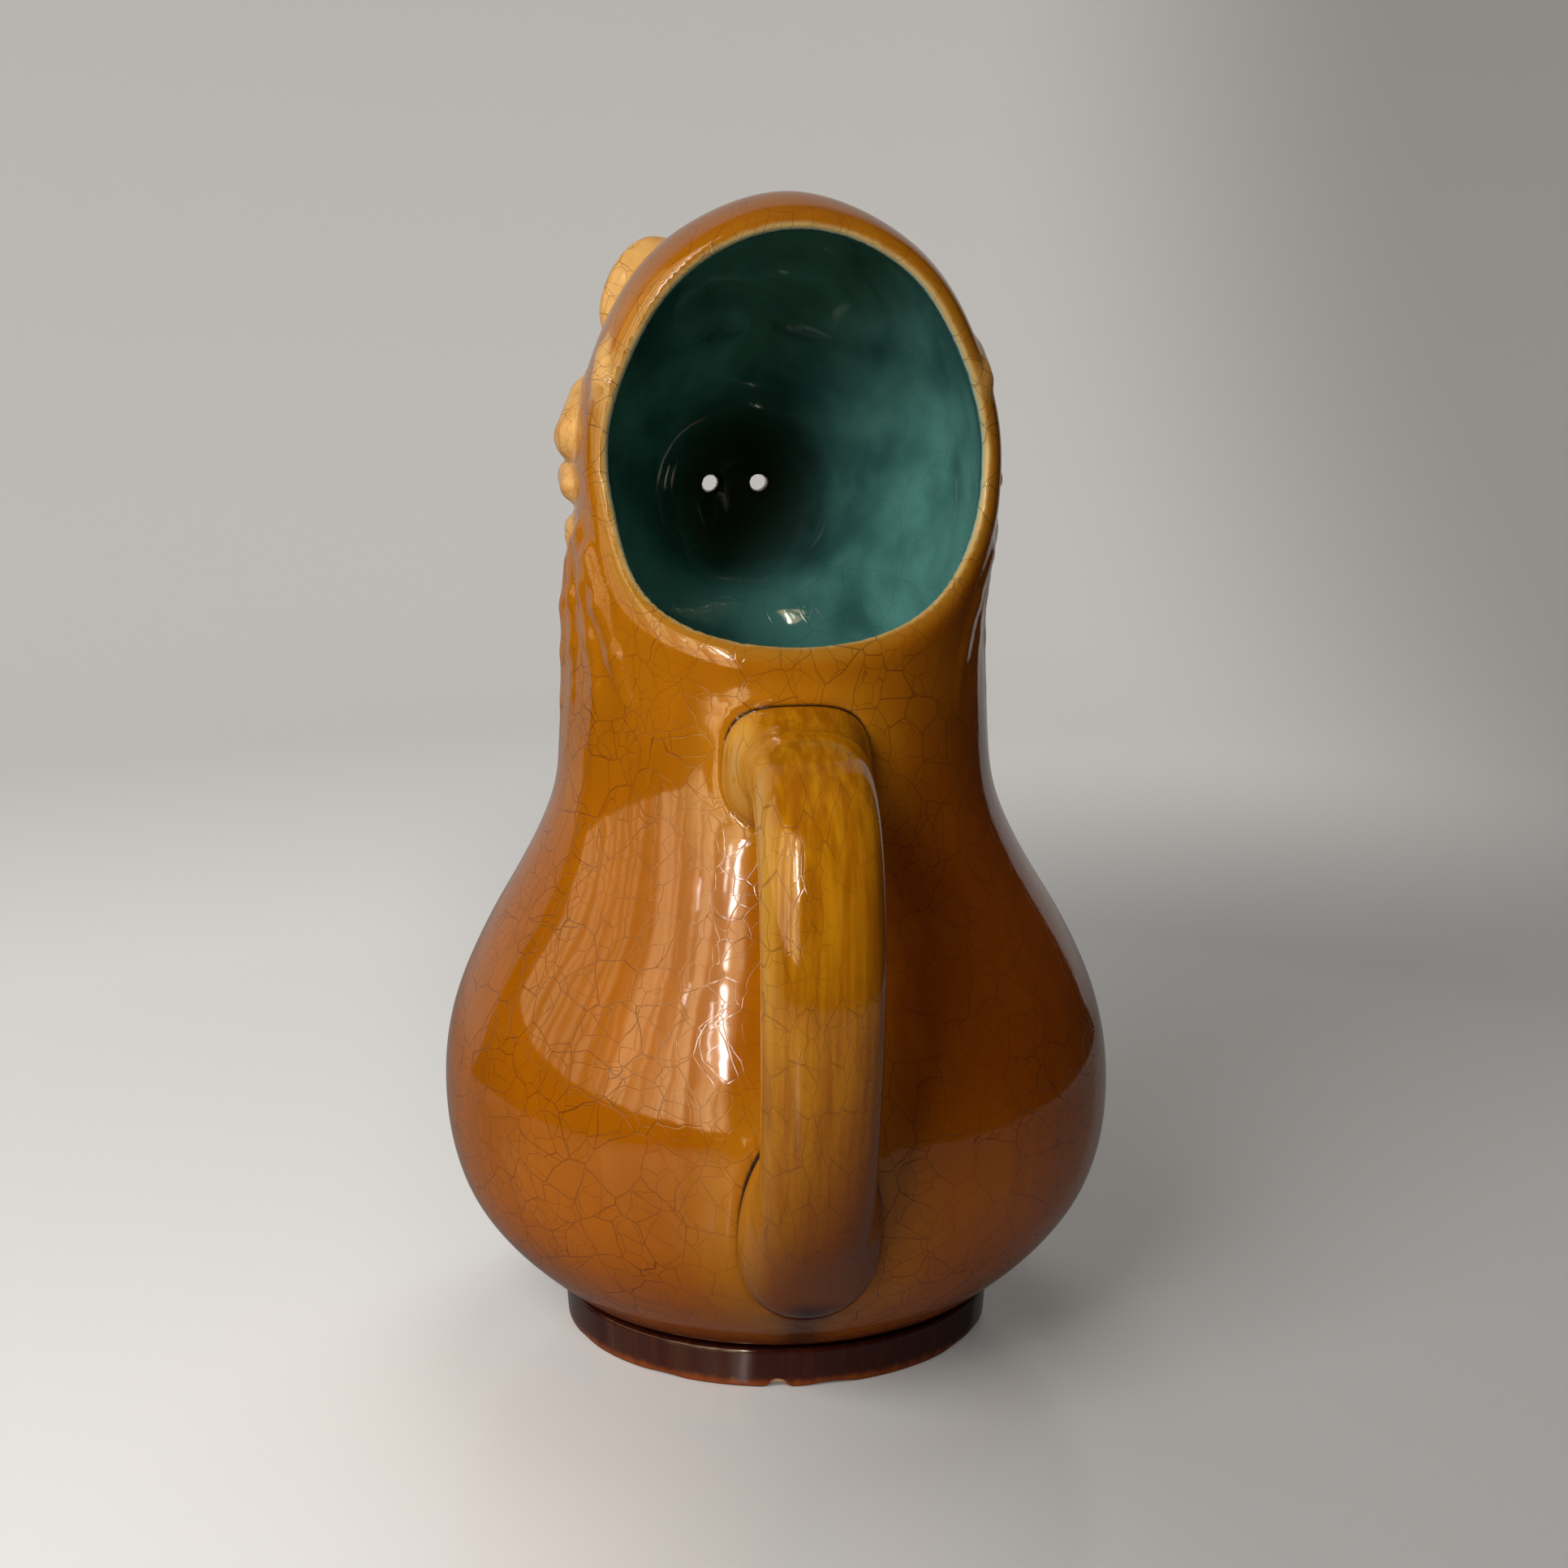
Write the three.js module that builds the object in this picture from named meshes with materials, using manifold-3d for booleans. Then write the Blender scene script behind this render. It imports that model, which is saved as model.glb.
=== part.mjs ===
// A majolica monkey jug: a pear-shaped, slip-cast pot whose neck grows into a monkey's head.
// The back of the head is open: the jug is filled there, and pours out of two holes in the muzzle.
// Millimetres, +Z up. The origin is the centre of the underside, the face looks along +Y, and the
// handle is at -Y.
import * as THREE from "three";
import { mergeVertices } from "three/addons/utils/BufferGeometryUtils.js";
import Module from "manifold-3d";

const wasm = await Module();
wasm.setup();

const { degToRad, lerp, mapLinear, smoothstep } = THREE.MathUtils;

// Pot, from the table up
const footRadius = 48;
const footLipRadius = 48.6; // the foot's widest, near its top
const footTopRadius = 46.6; // in the groove between foot and body
const footInnerRadius = 40;
const footHeight = 9;
const baseRecess = 1.2;
const bodyStartRadius = 47.6;
const floorThickness = 4.5;
const floorFlatRadius = 22; // the floor is dished outside this
const bellyRadius = 75;
const bellyHeight = 55;
const neckRadius = 46.8;
const neckHeight = 145; // where the neck is narrowest
const seamRise = 7; // from there to the seam between body and head
const headRadius = 46.6;
const headHeight = 107.5; // from the narrowest neck to the crown
const headStretch = 0.25; // how much deeper than wide the head is
const crownLean = 3.5; // the crown was modelled a little to one side
const clayWall = 3.9;
const glazeThickness = 0.6;
const fitGap = 0.3; // between luted pieces

// Opening in the back of the head: a sloping floor line that bends up into a steep back line
const rimFloorRise = 15; // from the narrowest neck to the lip's outer edge at the nape
const rimFloorSlope = degToRad(28);
const rimBackDepth = 20.3; // behind the axis, at the crown's height
const rimBackTilt = degToRad(4);
const rimBendRadius = 20;
const rimBand = 4.5; // how far the lip reaches into the head

// Muzzle and its two pouring holes
const muzzleHalfWidth = 25;
const muzzleHalfHeight = 26.5;
const muzzleProud = 24; // in front of the head
const pourHoleRadius = 2.3;
const pourHoleSpacing = 12;
const mouthDrop = 10; // below the pouring holes
const mouthGrooveHeight = 2.2;
const mouthGrooveDepth = 2;

// Features of the face and the ruff round it
const earHalfHeight = 13.5;
const earHalfWidth = 9.2;
const earThickness = 6;
const earTurn = degToRad(51); // round the head from the face
const earFlare = degToRad(22); // how far the bowl turns sideways from facing forward
const eyeSpacing = 30;
const eyeRadius = 8.5;
const eyeProud = 4.2;
const browEarTurn = degToRad(17); // from either end of the brow to the ear
const browRadius = 3.6;
const browDip = 4;
const tuftLength = 17.5;
const tuftWidth = 14;
const tuftGap = 1.2; // between one tuft and the next one down
const tuftProud = 3.4;
const tuftTurn = degToRad(80);
const tuftLean = degToRad(22);

// Handle: an oval strap between two pads
const handleWidth = 24.4;
const handleThickness = 17;
const handleStandOff = 29; // from the belly's radius to the strap's outer face
const handleDrop = 8; // from the narrowest neck down to the upper pad's centre
const handleFootHeight = 45.8; // the lower pad's centre
const handleSwing = degToRad(2); // the handle was luted slightly off the face's centre line
const upperPadHalfWidth = 14.5;
const upperPadHalfHeight = 12;
const upperPadProud = 5.5;
const lowerPadHalfWidth = 14.2;
const lowerPadHalfHeight = 23;
const lowerPadProud = 3.6;

// Fineness
const potTurns = 32;
const loftPoints = 12;
const bendPoints = 5;
const browSteps = 18;
const strapSteps = 26;
const mergeDistance = 1e-3;

// The outline, as shares of the way up each stretch and of the way from its narrow to its wide radius
const lowerBodyShares = [
  [0, 0], [0.08, 0.175], [0.24, 0.482], [0.4, 0.712], [0.565, 0.874], [0.78, 0.972], [1, 1],
];
const upperBodyShares = [
  [0.11, 0.985], [0.222, 0.911], [0.333, 0.767], [0.444, 0.586], [0.525, 0.425],
  [0.611, 0.271], [0.7, 0.135], [0.8, 0.03], [1, 0],
];
const crownShares = [
  [0.14, 0.99], [0.326, 0.972], [0.465, 0.979], [0.558, 0.958], [0.645, 0.92], [0.716, 0.852],
  [0.78, 0.787], [0.837, 0.695], [0.888, 0.583], [0.932, 0.446], [0.967, 0.3], [0.991, 0.145], [1, 0],
];
// Where the head starts and ends to deepen and to lean, as shares of its height
const deepenShares = [0.05, 0.65];
const leanShares = [0.5, 1];
// Heights of the features, as shares of the head's height
const muzzleShare = 0.344;
const earShare = 0.79;
const eyeShare = 0.748;
const browShare = 0.873;
// The muzzle's form starts inside the head, at this share of its radius
const muzzleRootShare = 0.4;
// The way along the muzzle, and the share of its full section there
const muzzleShares = [
  [0, 1.06], [0.45, 1.02], [0.62, 0.94], [0.76, 0.84], [0.87, 0.68], [0.95, 0.46], [1, 0.14],
];
// The ear's bowl from its back to its front: shares of its radius and of its thickness
const earShares = [
  [0, -0.5], [0.62, -0.42], [0.9, -0.2], [1, 0.1], [0.93, 0.4], [0.8, 0.5], [0.66, 0.3], [0, 0.1],
];
const browEndShare = 0.45; // thickness at its ends
const browBridgeShare = 0.4; // how much of either half dips to the bridge of the nose
const browWidthShare = 1.15; // height of its section against its thickness
// The ruff hangs from this height up the head, in tufts sized against the largest one
const ruffTopShare = 0.675;
const ruffShares = [
  { name: "temple_curl", turn: 0.95, length: 0.47, width: 0.7, proud: 0.6, lean: 0.9 },
  { name: "cheek_tuft", turn: 1, length: 1, width: 1, proud: 1, lean: 0.3 },
  { name: "jaw_tuft", turn: 0.97, length: 0.5, width: 0.8, proud: 0.96, lean: 1 },
  { name: "throat_tuft", turn: 0.91, length: 0.62, width: 0.72, proud: 0.66, lean: 0.72 },
];
// The way along a tuft, and the share of its full section there
const tuftShares = [[0, 0.34], [0.18, 0.82], [0.45, 1], [0.75, 0.76], [1, 0.2]];
// A pad's rings from its foot on the pot: shares of its half sizes and of how proud it stands
const padShares = [[1, 0.35], [0.95, 0.72], [0.8, 0.93], [0.45, 1]];
// The strap's centre line: the way out from the neck, the way up between the pads, and the share of
// its full section there
const strapShares = [
  [-0.06, 0.97, 1.04], [0.3, 1.03, 1.02], [0.62, 1.02, 1], [0.86, 0.94, 1], [0.975, 0.78, 1], [1, 0.62, 1],
  [0.965, 0.43, 0.97], [0.88, 0.24, 0.93], [0.76, 0.09, 0.9], [0.6, -0.02, 0.86], [0.42, -0.1, 0.8],
];

// Sizes that follow from those above
const overallHeight = neckHeight + headHeight;
const seamHeight = neckHeight + seamRise;
const innerFloorHeight = footHeight + floorThickness;
const totalWall = clayWall + fitGap + glazeThickness;
const muzzleHeight = neckHeight + muzzleShare * headHeight;
const browSweep = earTurn - browEarTurn;
const muzzleReach = headRadius * (1 + headStretch) + muzzleProud;
const muzzleRoot = muzzleRootShare * headRadius;
const cutterSpan = 3 * overallHeight;

const amberGlaze = new THREE.MeshStandardMaterial({ color: 0xa8620f, roughness: 0.12, metalness: 0 });
const footGlaze = new THREE.MeshStandardMaterial({ color: 0x4a1c10, roughness: 0.14, metalness: 0 });
const handleGlaze = new THREE.MeshStandardMaterial({ color: 0xb07a24, roughness: 0.12, metalness: 0 });
const tanGlaze = new THREE.MeshStandardMaterial({ color: 0xcf9348, roughness: 0.16, metalness: 0 });
const rimGlaze = new THREE.MeshStandardMaterial({ color: 0xc9a765, roughness: 0.15, metalness: 0 });
const liningGlaze = new THREE.MeshStandardMaterial({ color: 0x3f8480, roughness: 0.1, metalness: 0 });
const eyeGlaze = new THREE.MeshStandardMaterial({ color: 0x2a1208, roughness: 0.08, metalness: 0 });

// The solid that a closed geometry bounds.
function solidOf(geometry) {
  const bare = geometry.index ? geometry.toNonIndexed() : geometry.clone();
  bare.deleteAttribute("normal");
  bare.deleteAttribute("uv");
  const merged = mergeVertices(bare, mergeDistance);
  return new wasm.Manifold(
    new wasm.Mesh({
      numProp: 3,
      vertProperties: merged.attributes.position.array,
      triVerts: new Uint32Array(merged.index.array),
    }),
  );
}

function piece(name, solid, material) {
  const { vertProperties, triVerts } = solid.getMesh();
  const geometry = new THREE.BufferGeometry();
  geometry.setAttribute("position", new THREE.BufferAttribute(vertProperties, 3));
  geometry.setIndex(new THREE.BufferAttribute(triVerts, 1));
  geometry.computeVertexNormals();
  const mesh = new THREE.Mesh(geometry, material);
  mesh.name = name;
  return mesh;
}

// A closed skin through rings of points, with a fan over each end.
function loft(rings) {
  const count = rings[0].length;
  const points = rings.flat();
  const faces = [];
  for (let i = 0; i + 1 < rings.length; i++)
    for (let j = 0; j < count; j++) {
      const a = i * count + j;
      const b = i * count + ((j + 1) % count);
      faces.push(a, b, b + count, a, b + count, a + count);
    }
  const ends = [
    { ring: rings[0], start: 0, first: true },
    { ring: rings.at(-1), start: points.length - count, first: false },
  ];
  for (const { ring, start, first } of ends) {
    const centre = points.length;
    points.push(ring.reduce((sum, p) => sum.add(p), new THREE.Vector3()).divideScalar(count));
    for (let j = 0; j < count; j++) {
      const next = (j + 1) % count;
      faces.push(centre, start + (first ? next : j), start + (first ? j : next));
    }
  }
  return solidOf(new THREE.BufferGeometry().setFromPoints(points).setIndex(faces));
}

// An oval ring: half sizes along two directions about a centre. Rings of a loft go forward along across x up.
function oval(centre, across, halfAcross, up, halfUp) {
  return Array.from({ length: loftPoints }, (_, i) => {
    const angle = (2 * Math.PI * i) / loftPoints;
    return centre
      .clone()
      .addScaledVector(across, halfAcross * Math.cos(angle))
      .addScaledVector(up, halfUp * Math.sin(angle));
  });
}

// How far the crown leans sideways at a height.
function leanAt(height) {
  const [start, end] = leanShares.map((share) => neckHeight + share * headHeight);
  return crownLean * smoothstep(height, start, end);
}

// Deepens the head front to back, and leans its crown.
function shaped(point) {
  const [start, end] = deepenShares.map((share) => neckHeight + share * headHeight);
  point.y *= 1 + headStretch * smoothstep(point.z, start, end);
  point.x += leanAt(point.z);
  return point;
}

// A solid of revolution about Z from an outline of (radius, height) points, shaped like the pot.
function turned(outline) {
  const geometry = new THREE.LatheGeometry(outline, potTurns).rotateX(Math.PI / 2);
  const position = geometry.attributes.position;
  const point = new THREE.Vector3();
  for (let i = 0; i < position.count; i++) {
    shaped(point.fromBufferAttribute(position, i));
    position.setXYZ(i, point.x, point.y, point.z);
  }
  return solidOf(geometry);
}

// The pot's outer outline from just above the foot to the crown.
const outlineCurve = [
  ...lowerBodyShares.map(([up, out]) => [
    lerp(bodyStartRadius, bellyRadius, out),
    lerp(footHeight, bellyHeight, up),
  ]),
  ...upperBodyShares.map(([up, out]) => [
    lerp(neckRadius, bellyRadius, out),
    lerp(bellyHeight, neckHeight, up),
  ]),
  ...crownShares.map(([up, out]) => [headRadius * out, neckHeight + headHeight * up]),
].map(([radius, height]) => new THREE.Vector2(radius, height));

// The outline moved inwards along its normals. A negative inset swells it.
function insetOutline(inset) {
  const last = outlineCurve.length - 1;
  return outlineCurve.map((point, i) => {
    if (i === last) return new THREE.Vector2(0, point.y - inset);
    const along = outlineCurve[i + 1].clone().sub(outlineCurve[Math.max(i - 1, 0)]).normalize();
    return new THREE.Vector2(point.x - inset * along.y, point.y + inset * along.x);
  });
}

// Outer radius of the pot at a height, before it is shaped.
function radiusAt(height) {
  const next = outlineCurve.findIndex((point) => point.y > height);
  if (next < 1) return next === 0 ? outlineCurve[0].x : 0;
  const [low, high] = [outlineCurve[next - 1], outlineCurve[next]];
  return mapLinear(height, low.y, high.y, low.x, high.x);
}

// A point of the outer skin. The turn runs from the face (+Y) towards +X.
function skinPoint(turn, height) {
  const radius = radiusAt(height);
  return shaped(new THREE.Vector3(radius * Math.sin(turn), radius * Math.cos(turn), height));
}

// The way out of the skin at that point.
function skinNormal(turn, height) {
  const step = clayWall;
  const probe = step / bellyRadius;
  const around = skinPoint(turn + probe, height).sub(skinPoint(turn - probe, height));
  const upward = skinPoint(turn, height + step).sub(skinPoint(turn, height - step));
  return upward.cross(around).normalize();
}

// The pot as a filled block, swollen by a growth.
function potBlock(growth) {
  const wall = insetOutline(-growth);
  return turned([new THREE.Vector2(0, wall[0].y), ...wall]);
}

// The hollow at an inset from the pot's skin, down to its dished floor.
function potHollow(inset) {
  const lift = inset - clayWall;
  const floor = baseRecess + floorThickness + lift;
  const wall = insetOutline(inset).filter((point) => point.y > innerFloorHeight + lift);
  return turned([new THREE.Vector2(0, floor), new THREE.Vector2(floorFlatRadius, floor), ...wall]);
}

// The muzzle as a filled block, inset from its outer skin.
function muzzleBlock(inset) {
  const across = new THREE.Vector3(1, 0, 0);
  const up = new THREE.Vector3(0, 0, 1);
  const rings = muzzleShares.map(([along, section]) => {
    const centre = new THREE.Vector3(0, lerp(muzzleRoot, muzzleReach - inset, along), muzzleHeight);
    const [halfWidth, halfHeight] = [muzzleHalfWidth - inset, muzzleHalfHeight - inset];
    return oval(centre, across, halfWidth * section, up, halfHeight * section);
  });
  return loft(rings.reverse());
}

// What is taken away to open the back of the head, moved into the head by a reach.
function openingCut(reach) {
  const floorAlong = new THREE.Vector2(Math.cos(rimFloorSlope), Math.sin(rimFloorSlope));
  const floorIn = new THREE.Vector2(floorAlong.y, -floorAlong.x);
  const floorStart = new THREE.Vector2(-neckRadius, neckHeight + rimFloorRise);
  floorStart.addScaledVector(floorIn, reach);
  const backAlong = new THREE.Vector2(-Math.sin(rimBackTilt), Math.cos(rimBackTilt));
  const backIn = new THREE.Vector2(backAlong.y, -backAlong.x);
  const backStart = new THREE.Vector2(-rimBackDepth, overallHeight).addScaledVector(backIn, reach);
  const toCorner = backStart.clone().sub(floorStart).cross(backAlong) / floorAlong.cross(backAlong);
  const corner = floorStart.clone().addScaledVector(floorAlong, toCorner);
  const bend = Math.acos(floorAlong.dot(backAlong));
  const radius = rimBendRadius + reach;
  const run = radius * Math.tan(bend / 2);
  const bendStart = corner.clone().addScaledVector(floorAlong, -run);
  const bendEnd = corner.clone().addScaledVector(backAlong, run);
  const centre = bendStart.clone().addScaledVector(floorIn, -radius);
  const from = floorIn.angle();
  const shape = new THREE.Shape();
  shape.moveTo(floorStart.x - cutterSpan * floorAlong.x, floorStart.y - cutterSpan * floorAlong.y);
  shape.lineTo(bendStart.x, bendStart.y);
  shape.absarc(centre.x, centre.y, radius, from, from + bend, false);
  shape.lineTo(bendEnd.x + cutterSpan * backAlong.x, bendEnd.y + cutterSpan * backAlong.y);
  shape.lineTo(-cutterSpan, cutterSpan);
  const slab = new THREE.ExtrudeGeometry(shape, {
    depth: cutterSpan,
    bevelEnabled: false,
    curveSegments: bendPoints,
  });
  slab.translate(0, 0, -cutterSpan / 2);
  const sideways = new THREE.Matrix4().makeBasis(
    new THREE.Vector3(0, 1, 0),
    new THREE.Vector3(0, 0, 1),
    new THREE.Vector3(1, 0, 0),
  );
  return solidOf(slab.applyMatrix4(sideways));
}

// Everything below the seam between body and head.
function belowSeam() {
  const block = new THREE.BoxGeometry(cutterSpan, cutterSpan, cutterSpan);
  return solidOf(block.translate(0, 0, seamHeight - cutterSpan / 2));
}

// The two pouring holes as rods along Y through the tip of the muzzle.
function pourHoleRods() {
  const [left, right] = [-1, 1].map((side) => {
    const rod = new THREE.CylinderGeometry(pourHoleRadius, pourHoleRadius, muzzleReach, loftPoints);
    return solidOf(rod.translate((side * pourHoleSpacing) / 2, muzzleReach, muzzleHeight));
  });
  return left.add(right);
}

const potOuter = potBlock(0);
const potCleared = potBlock(fitGap);
const hollow = potHollow(clayWall);
const muzzleHollow = muzzleBlock(clayWall);
const holes = pourHoleRods();
const opening = openingCut(rimBand + fitGap);

// Body: the pear with its dished floor and the plug inside the foot ring
function makeBody() {
  const plugRadius = footInnerRadius - fitGap;
  const plug = turned([
    new THREE.Vector2(0, baseRecess),
    new THREE.Vector2(plugRadius, baseRecess),
    new THREE.Vector2(plugRadius, innerFloorHeight),
    new THREE.Vector2(0, innerFloorHeight),
  ]);
  const shell = potOuter.add(plug).subtract(hollow).intersect(belowSeam());
  return piece("body_shell", shell.subtract(opening).subtract(muzzleHollow), amberGlaze);
}

function makeFoot() {
  const lipHeight = footHeight - (footLipRadius - footTopRadius) / 2;
  const ring = turned([
    new THREE.Vector2(footInnerRadius, 0),
    new THREE.Vector2(footRadius, 0),
    new THREE.Vector2(footLipRadius, lipHeight),
    new THREE.Vector2(footTopRadius, footHeight),
    new THREE.Vector2(footInnerRadius, footHeight),
    new THREE.Vector2(footInnerRadius, 0),
  ]);
  return piece("foot_ring", ring, footGlaze);
}

function makeHead() {
  const shell = potOuter.subtract(hollow).subtract(belowSeam());
  return piece("head_shell", shell.subtract(opening).subtract(muzzleHollow), amberGlaze);
}

// Lip: the band of clay and glaze along the edge of the opening
function makeRim() {
  const band = openingCut(rimBand).subtract(openingCut(0));
  return piece("rim_lip", potOuter.subtract(potHollow(totalWall)).intersect(band), rimGlaze);
}

// Lining: the glaze poured in and out again, a thin skin all over the inside
function makeLining() {
  const skin = (inset) => potHollow(inset).add(muzzleBlock(inset));
  const lining = skin(clayWall + fitGap).subtract(skin(totalWall));
  return piece("interior_glaze", lining.subtract(opening).subtract(holes), liningGlaze);
}

function makeMuzzle() {
  const groove = solidOf(
    new THREE.BoxGeometry(cutterSpan, muzzleReach, mouthGrooveHeight).translate(
      0,
      muzzleReach,
      muzzleHeight - mouthDrop,
    ),
  ).subtract(muzzleBlock(mouthGrooveDepth));
  const shell = muzzleBlock(0).subtract(muzzleHollow).subtract(potCleared);
  return piece("muzzle", shell.subtract(groove).subtract(holes), tanGlaze);
}

// Ear: an oval bowl that stands out of the head, grown by a clearance. It doesn't follow the crown's lean.
function makeEar(side, growth) {
  const at = skinPoint(side * earTurn, neckHeight + earShare * headHeight);
  at.x -= leanAt(at.z);
  const bowl = earShares.map(
    ([out, up]) => new THREE.Vector2(out * (earHalfWidth + growth), up * (earThickness + 2 * growth)),
  );
  const dish = new THREE.LatheGeometry(bowl, 2 * loftPoints)
    .scale(1, 1, earHalfHeight / earHalfWidth)
    .rotateZ(-side * earFlare)
    .translate(at.x, at.y, at.z);
  return solidOf(dish).subtract(potCleared);
}

// Eye: a ball sunk in the head, grown by a clearance
function makeEye(side, growth) {
  const height = neckHeight + eyeShare * headHeight;
  const turn = side * Math.asin(eyeSpacing / 2 / radiusAt(height));
  const centre = skinPoint(turn, height);
  centre.addScaledVector(skinNormal(turn, height), eyeProud - eyeRadius);
  const ball = new THREE.SphereGeometry(eyeRadius + growth, loftPoints, loftPoints);
  return solidOf(ball.translate(centre.x, centre.y, centre.z)).subtract(potCleared);
}

// Brow: one ridge over both eyes, lower at the bridge of the nose and at its ends
function makeBrow() {
  const rings = Array.from({ length: browSteps + 1 }, (_, i) => {
    const along = (2 * i) / browSteps - 1;
    const bridge = 1 - smoothstep(Math.abs(along), 0, browBridgeShare);
    const height = neckHeight + browShare * headHeight - browDip * (bridge + along ** 4);
    const turn = along * browSweep;
    const away = skinNormal(turn, height);
    const over = new THREE.Vector3().crossVectors(away, new THREE.Vector3(0, 0, 1)).normalize();
    const up = new THREE.Vector3().crossVectors(over, away);
    const thick = browRadius * lerp(1, browEndShare, along ** 6);
    return oval(skinPoint(turn, height), away, thick, up, browWidthShare * thick);
  });
  const neighbours = [-1, 1].flatMap((side) => [makeEar(side, fitGap), makeEye(side, fitGap)]);
  return neighbours.reduce((brow, neighbour) => brow.subtract(neighbour), loft(rings).subtract(potCleared));
}

// Tuft: a lock of hair that swells from its root and thins to its tip
function makeTuft(shares, side, height) {
  const turn = side * tuftTurn * shares.turn;
  const root = skinPoint(turn, height);
  const away = skinNormal(turn, height);
  const back = new THREE.Vector3(-side * Math.cos(turn), side * Math.sin(turn), 0);
  const down = new THREE.Vector3(0, 0, -1).projectOnPlane(away).normalize();
  const lean = shares.lean * tuftLean;
  const along = down.multiplyScalar(Math.cos(lean)).addScaledVector(back, Math.sin(lean));
  along.projectOnPlane(away).normalize();
  const over = new THREE.Vector3().crossVectors(away, along);
  const rings = tuftShares.map(([far, section]) => {
    const centre = root.clone().addScaledVector(along, (far - 0.5) * shares.length * tuftLength);
    const halfWidth = (shares.width * tuftWidth * section) / 2;
    return oval(centre, over, halfWidth, away, shares.proud * tuftProud * section);
  });
  return loft(rings).subtract(potCleared);
}

// Ruff: the tufts on one side of the face, hung one under another
function makeRuff(side, sideName) {
  let top = neckHeight + ruffTopShare * headHeight;
  return ruffShares.map((shares) => {
    const length = shares.length * tuftLength;
    const tuft = makeTuft(shares, side, top - length / 2);
    top -= length + tuftGap;
    return piece(`${shares.name}_${sideName}`, tuft, tanGlaze);
  });
}

// A pad that follows the pot's skin, grown by a clearance.
function makePad(centreHeight, halfWidth, halfHeight, proud, growth) {
  const turn = Math.PI + handleSwing;
  const ring = (size, lift) =>
    Array.from({ length: 2 * loftPoints }, (_, i) => {
      const angle = (Math.PI * i) / loftPoints;
      const height = centreHeight + (halfHeight + growth) * size * Math.sin(angle);
      const spot = turn - ((halfWidth + growth) * size * Math.cos(angle)) / radiusAt(height);
      return skinPoint(spot, height).addScaledVector(skinNormal(spot, height), lift);
    });
  const rings = padShares.map(([size, rise]) => ring(size, (proud + growth) * rise));
  return loft([ring(1, -clayWall), ...rings]);
}

const padHeight = neckHeight - handleDrop;
const upperPad = (growth) =>
  makePad(padHeight, upperPadHalfWidth, upperPadHalfHeight, upperPadProud, growth);
const lowerPad = (growth) =>
  makePad(handleFootHeight, lowerPadHalfWidth, lowerPadHalfHeight, lowerPadProud, growth);

function makeHandle() {
  const centreReach = bellyRadius + handleStandOff - handleThickness / 2;
  const curve = new THREE.CatmullRomCurve3(
    strapShares.map(
      ([out, up]) =>
        new THREE.Vector3(0, -lerp(neckRadius, centreReach, out), lerp(handleFootHeight, padHeight, up)),
    ),
    false,
    "centripetal",
  );
  const turn = new THREE.Vector3(0, 0, 1);
  const across = new THREE.Vector3(1, 0, 0).applyAxisAngle(turn, -handleSwing);
  const rings = Array.from({ length: strapSteps + 1 }, (_, i) => {
    const share = (i / strapSteps) * (strapShares.length - 1);
    const [low, high] = [Math.floor(share), Math.ceil(share)];
    const section = lerp(strapShares[low][2], strapShares[high][2], share - low);
    const along = curve.getTangent(i / strapSteps).applyAxisAngle(turn, -handleSwing);
    const centre = curve.getPoint(i / strapSteps).applyAxisAngle(turn, -handleSwing);
    const up = new THREE.Vector3().crossVectors(along, across);
    return oval(centre, across, (handleWidth / 2) * section, up, (handleThickness / 2) * section);
  });
  return loft(rings).subtract(potCleared).subtract(upperPad(fitGap)).subtract(lowerPad(fitGap));
}

const pot = new THREE.Group();
pot.add(makeBody(), makeFoot(), makeHead(), makeRim(), makeLining());

const face = new THREE.Group();
face.add(makeMuzzle(), piece("brow", makeBrow(), amberGlaze));
for (const [side, sideName] of [[-1, "left"], [1, "right"]]) {
  face.add(piece(`ear_${sideName}`, makeEar(side, 0), tanGlaze));
  face.add(piece(`eye_${sideName}`, makeEye(side, 0), eyeGlaze));
  face.add(...makeRuff(side, sideName));
}

const handle = new THREE.Group();
handle.add(
  piece("upper_handle_pad", upperPad(0).subtract(potCleared), handleGlaze),
  piece("lower_handle_pad", lowerPad(0).subtract(potCleared), handleGlaze),
  piece("handle", makeHandle(), handleGlaze),
);

const jug = new THREE.Group();
jug.add(pot, face, handle);

export default jug;
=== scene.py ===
"""Visual model of a glazed monkey jug: clay skin, glazes, handle, foot and a plain studio."""

import logging
import math
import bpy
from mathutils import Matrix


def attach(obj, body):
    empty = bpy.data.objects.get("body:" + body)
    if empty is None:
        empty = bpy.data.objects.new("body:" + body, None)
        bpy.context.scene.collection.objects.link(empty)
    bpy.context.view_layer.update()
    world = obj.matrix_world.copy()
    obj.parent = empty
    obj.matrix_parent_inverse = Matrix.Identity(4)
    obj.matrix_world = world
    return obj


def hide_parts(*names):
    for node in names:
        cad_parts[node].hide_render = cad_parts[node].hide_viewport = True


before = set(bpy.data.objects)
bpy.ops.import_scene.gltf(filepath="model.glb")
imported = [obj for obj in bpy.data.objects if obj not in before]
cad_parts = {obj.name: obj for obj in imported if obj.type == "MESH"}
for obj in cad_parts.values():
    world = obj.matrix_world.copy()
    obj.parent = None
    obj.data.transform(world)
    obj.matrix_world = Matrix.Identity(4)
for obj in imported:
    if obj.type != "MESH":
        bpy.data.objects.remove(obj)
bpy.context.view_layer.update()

from concurrent.futures import ThreadPoolExecutor
from dataclasses import dataclass, field
from enum import Enum
from functools import partial
from typing import Callable, Sequence

import bmesh
import bpy
import numpy as np
from mathutils import Euler, Vector

logging.basicConfig(level=logging.INFO, format="%(message)s")
log = logging.getLogger("monkey_jug")

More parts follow.
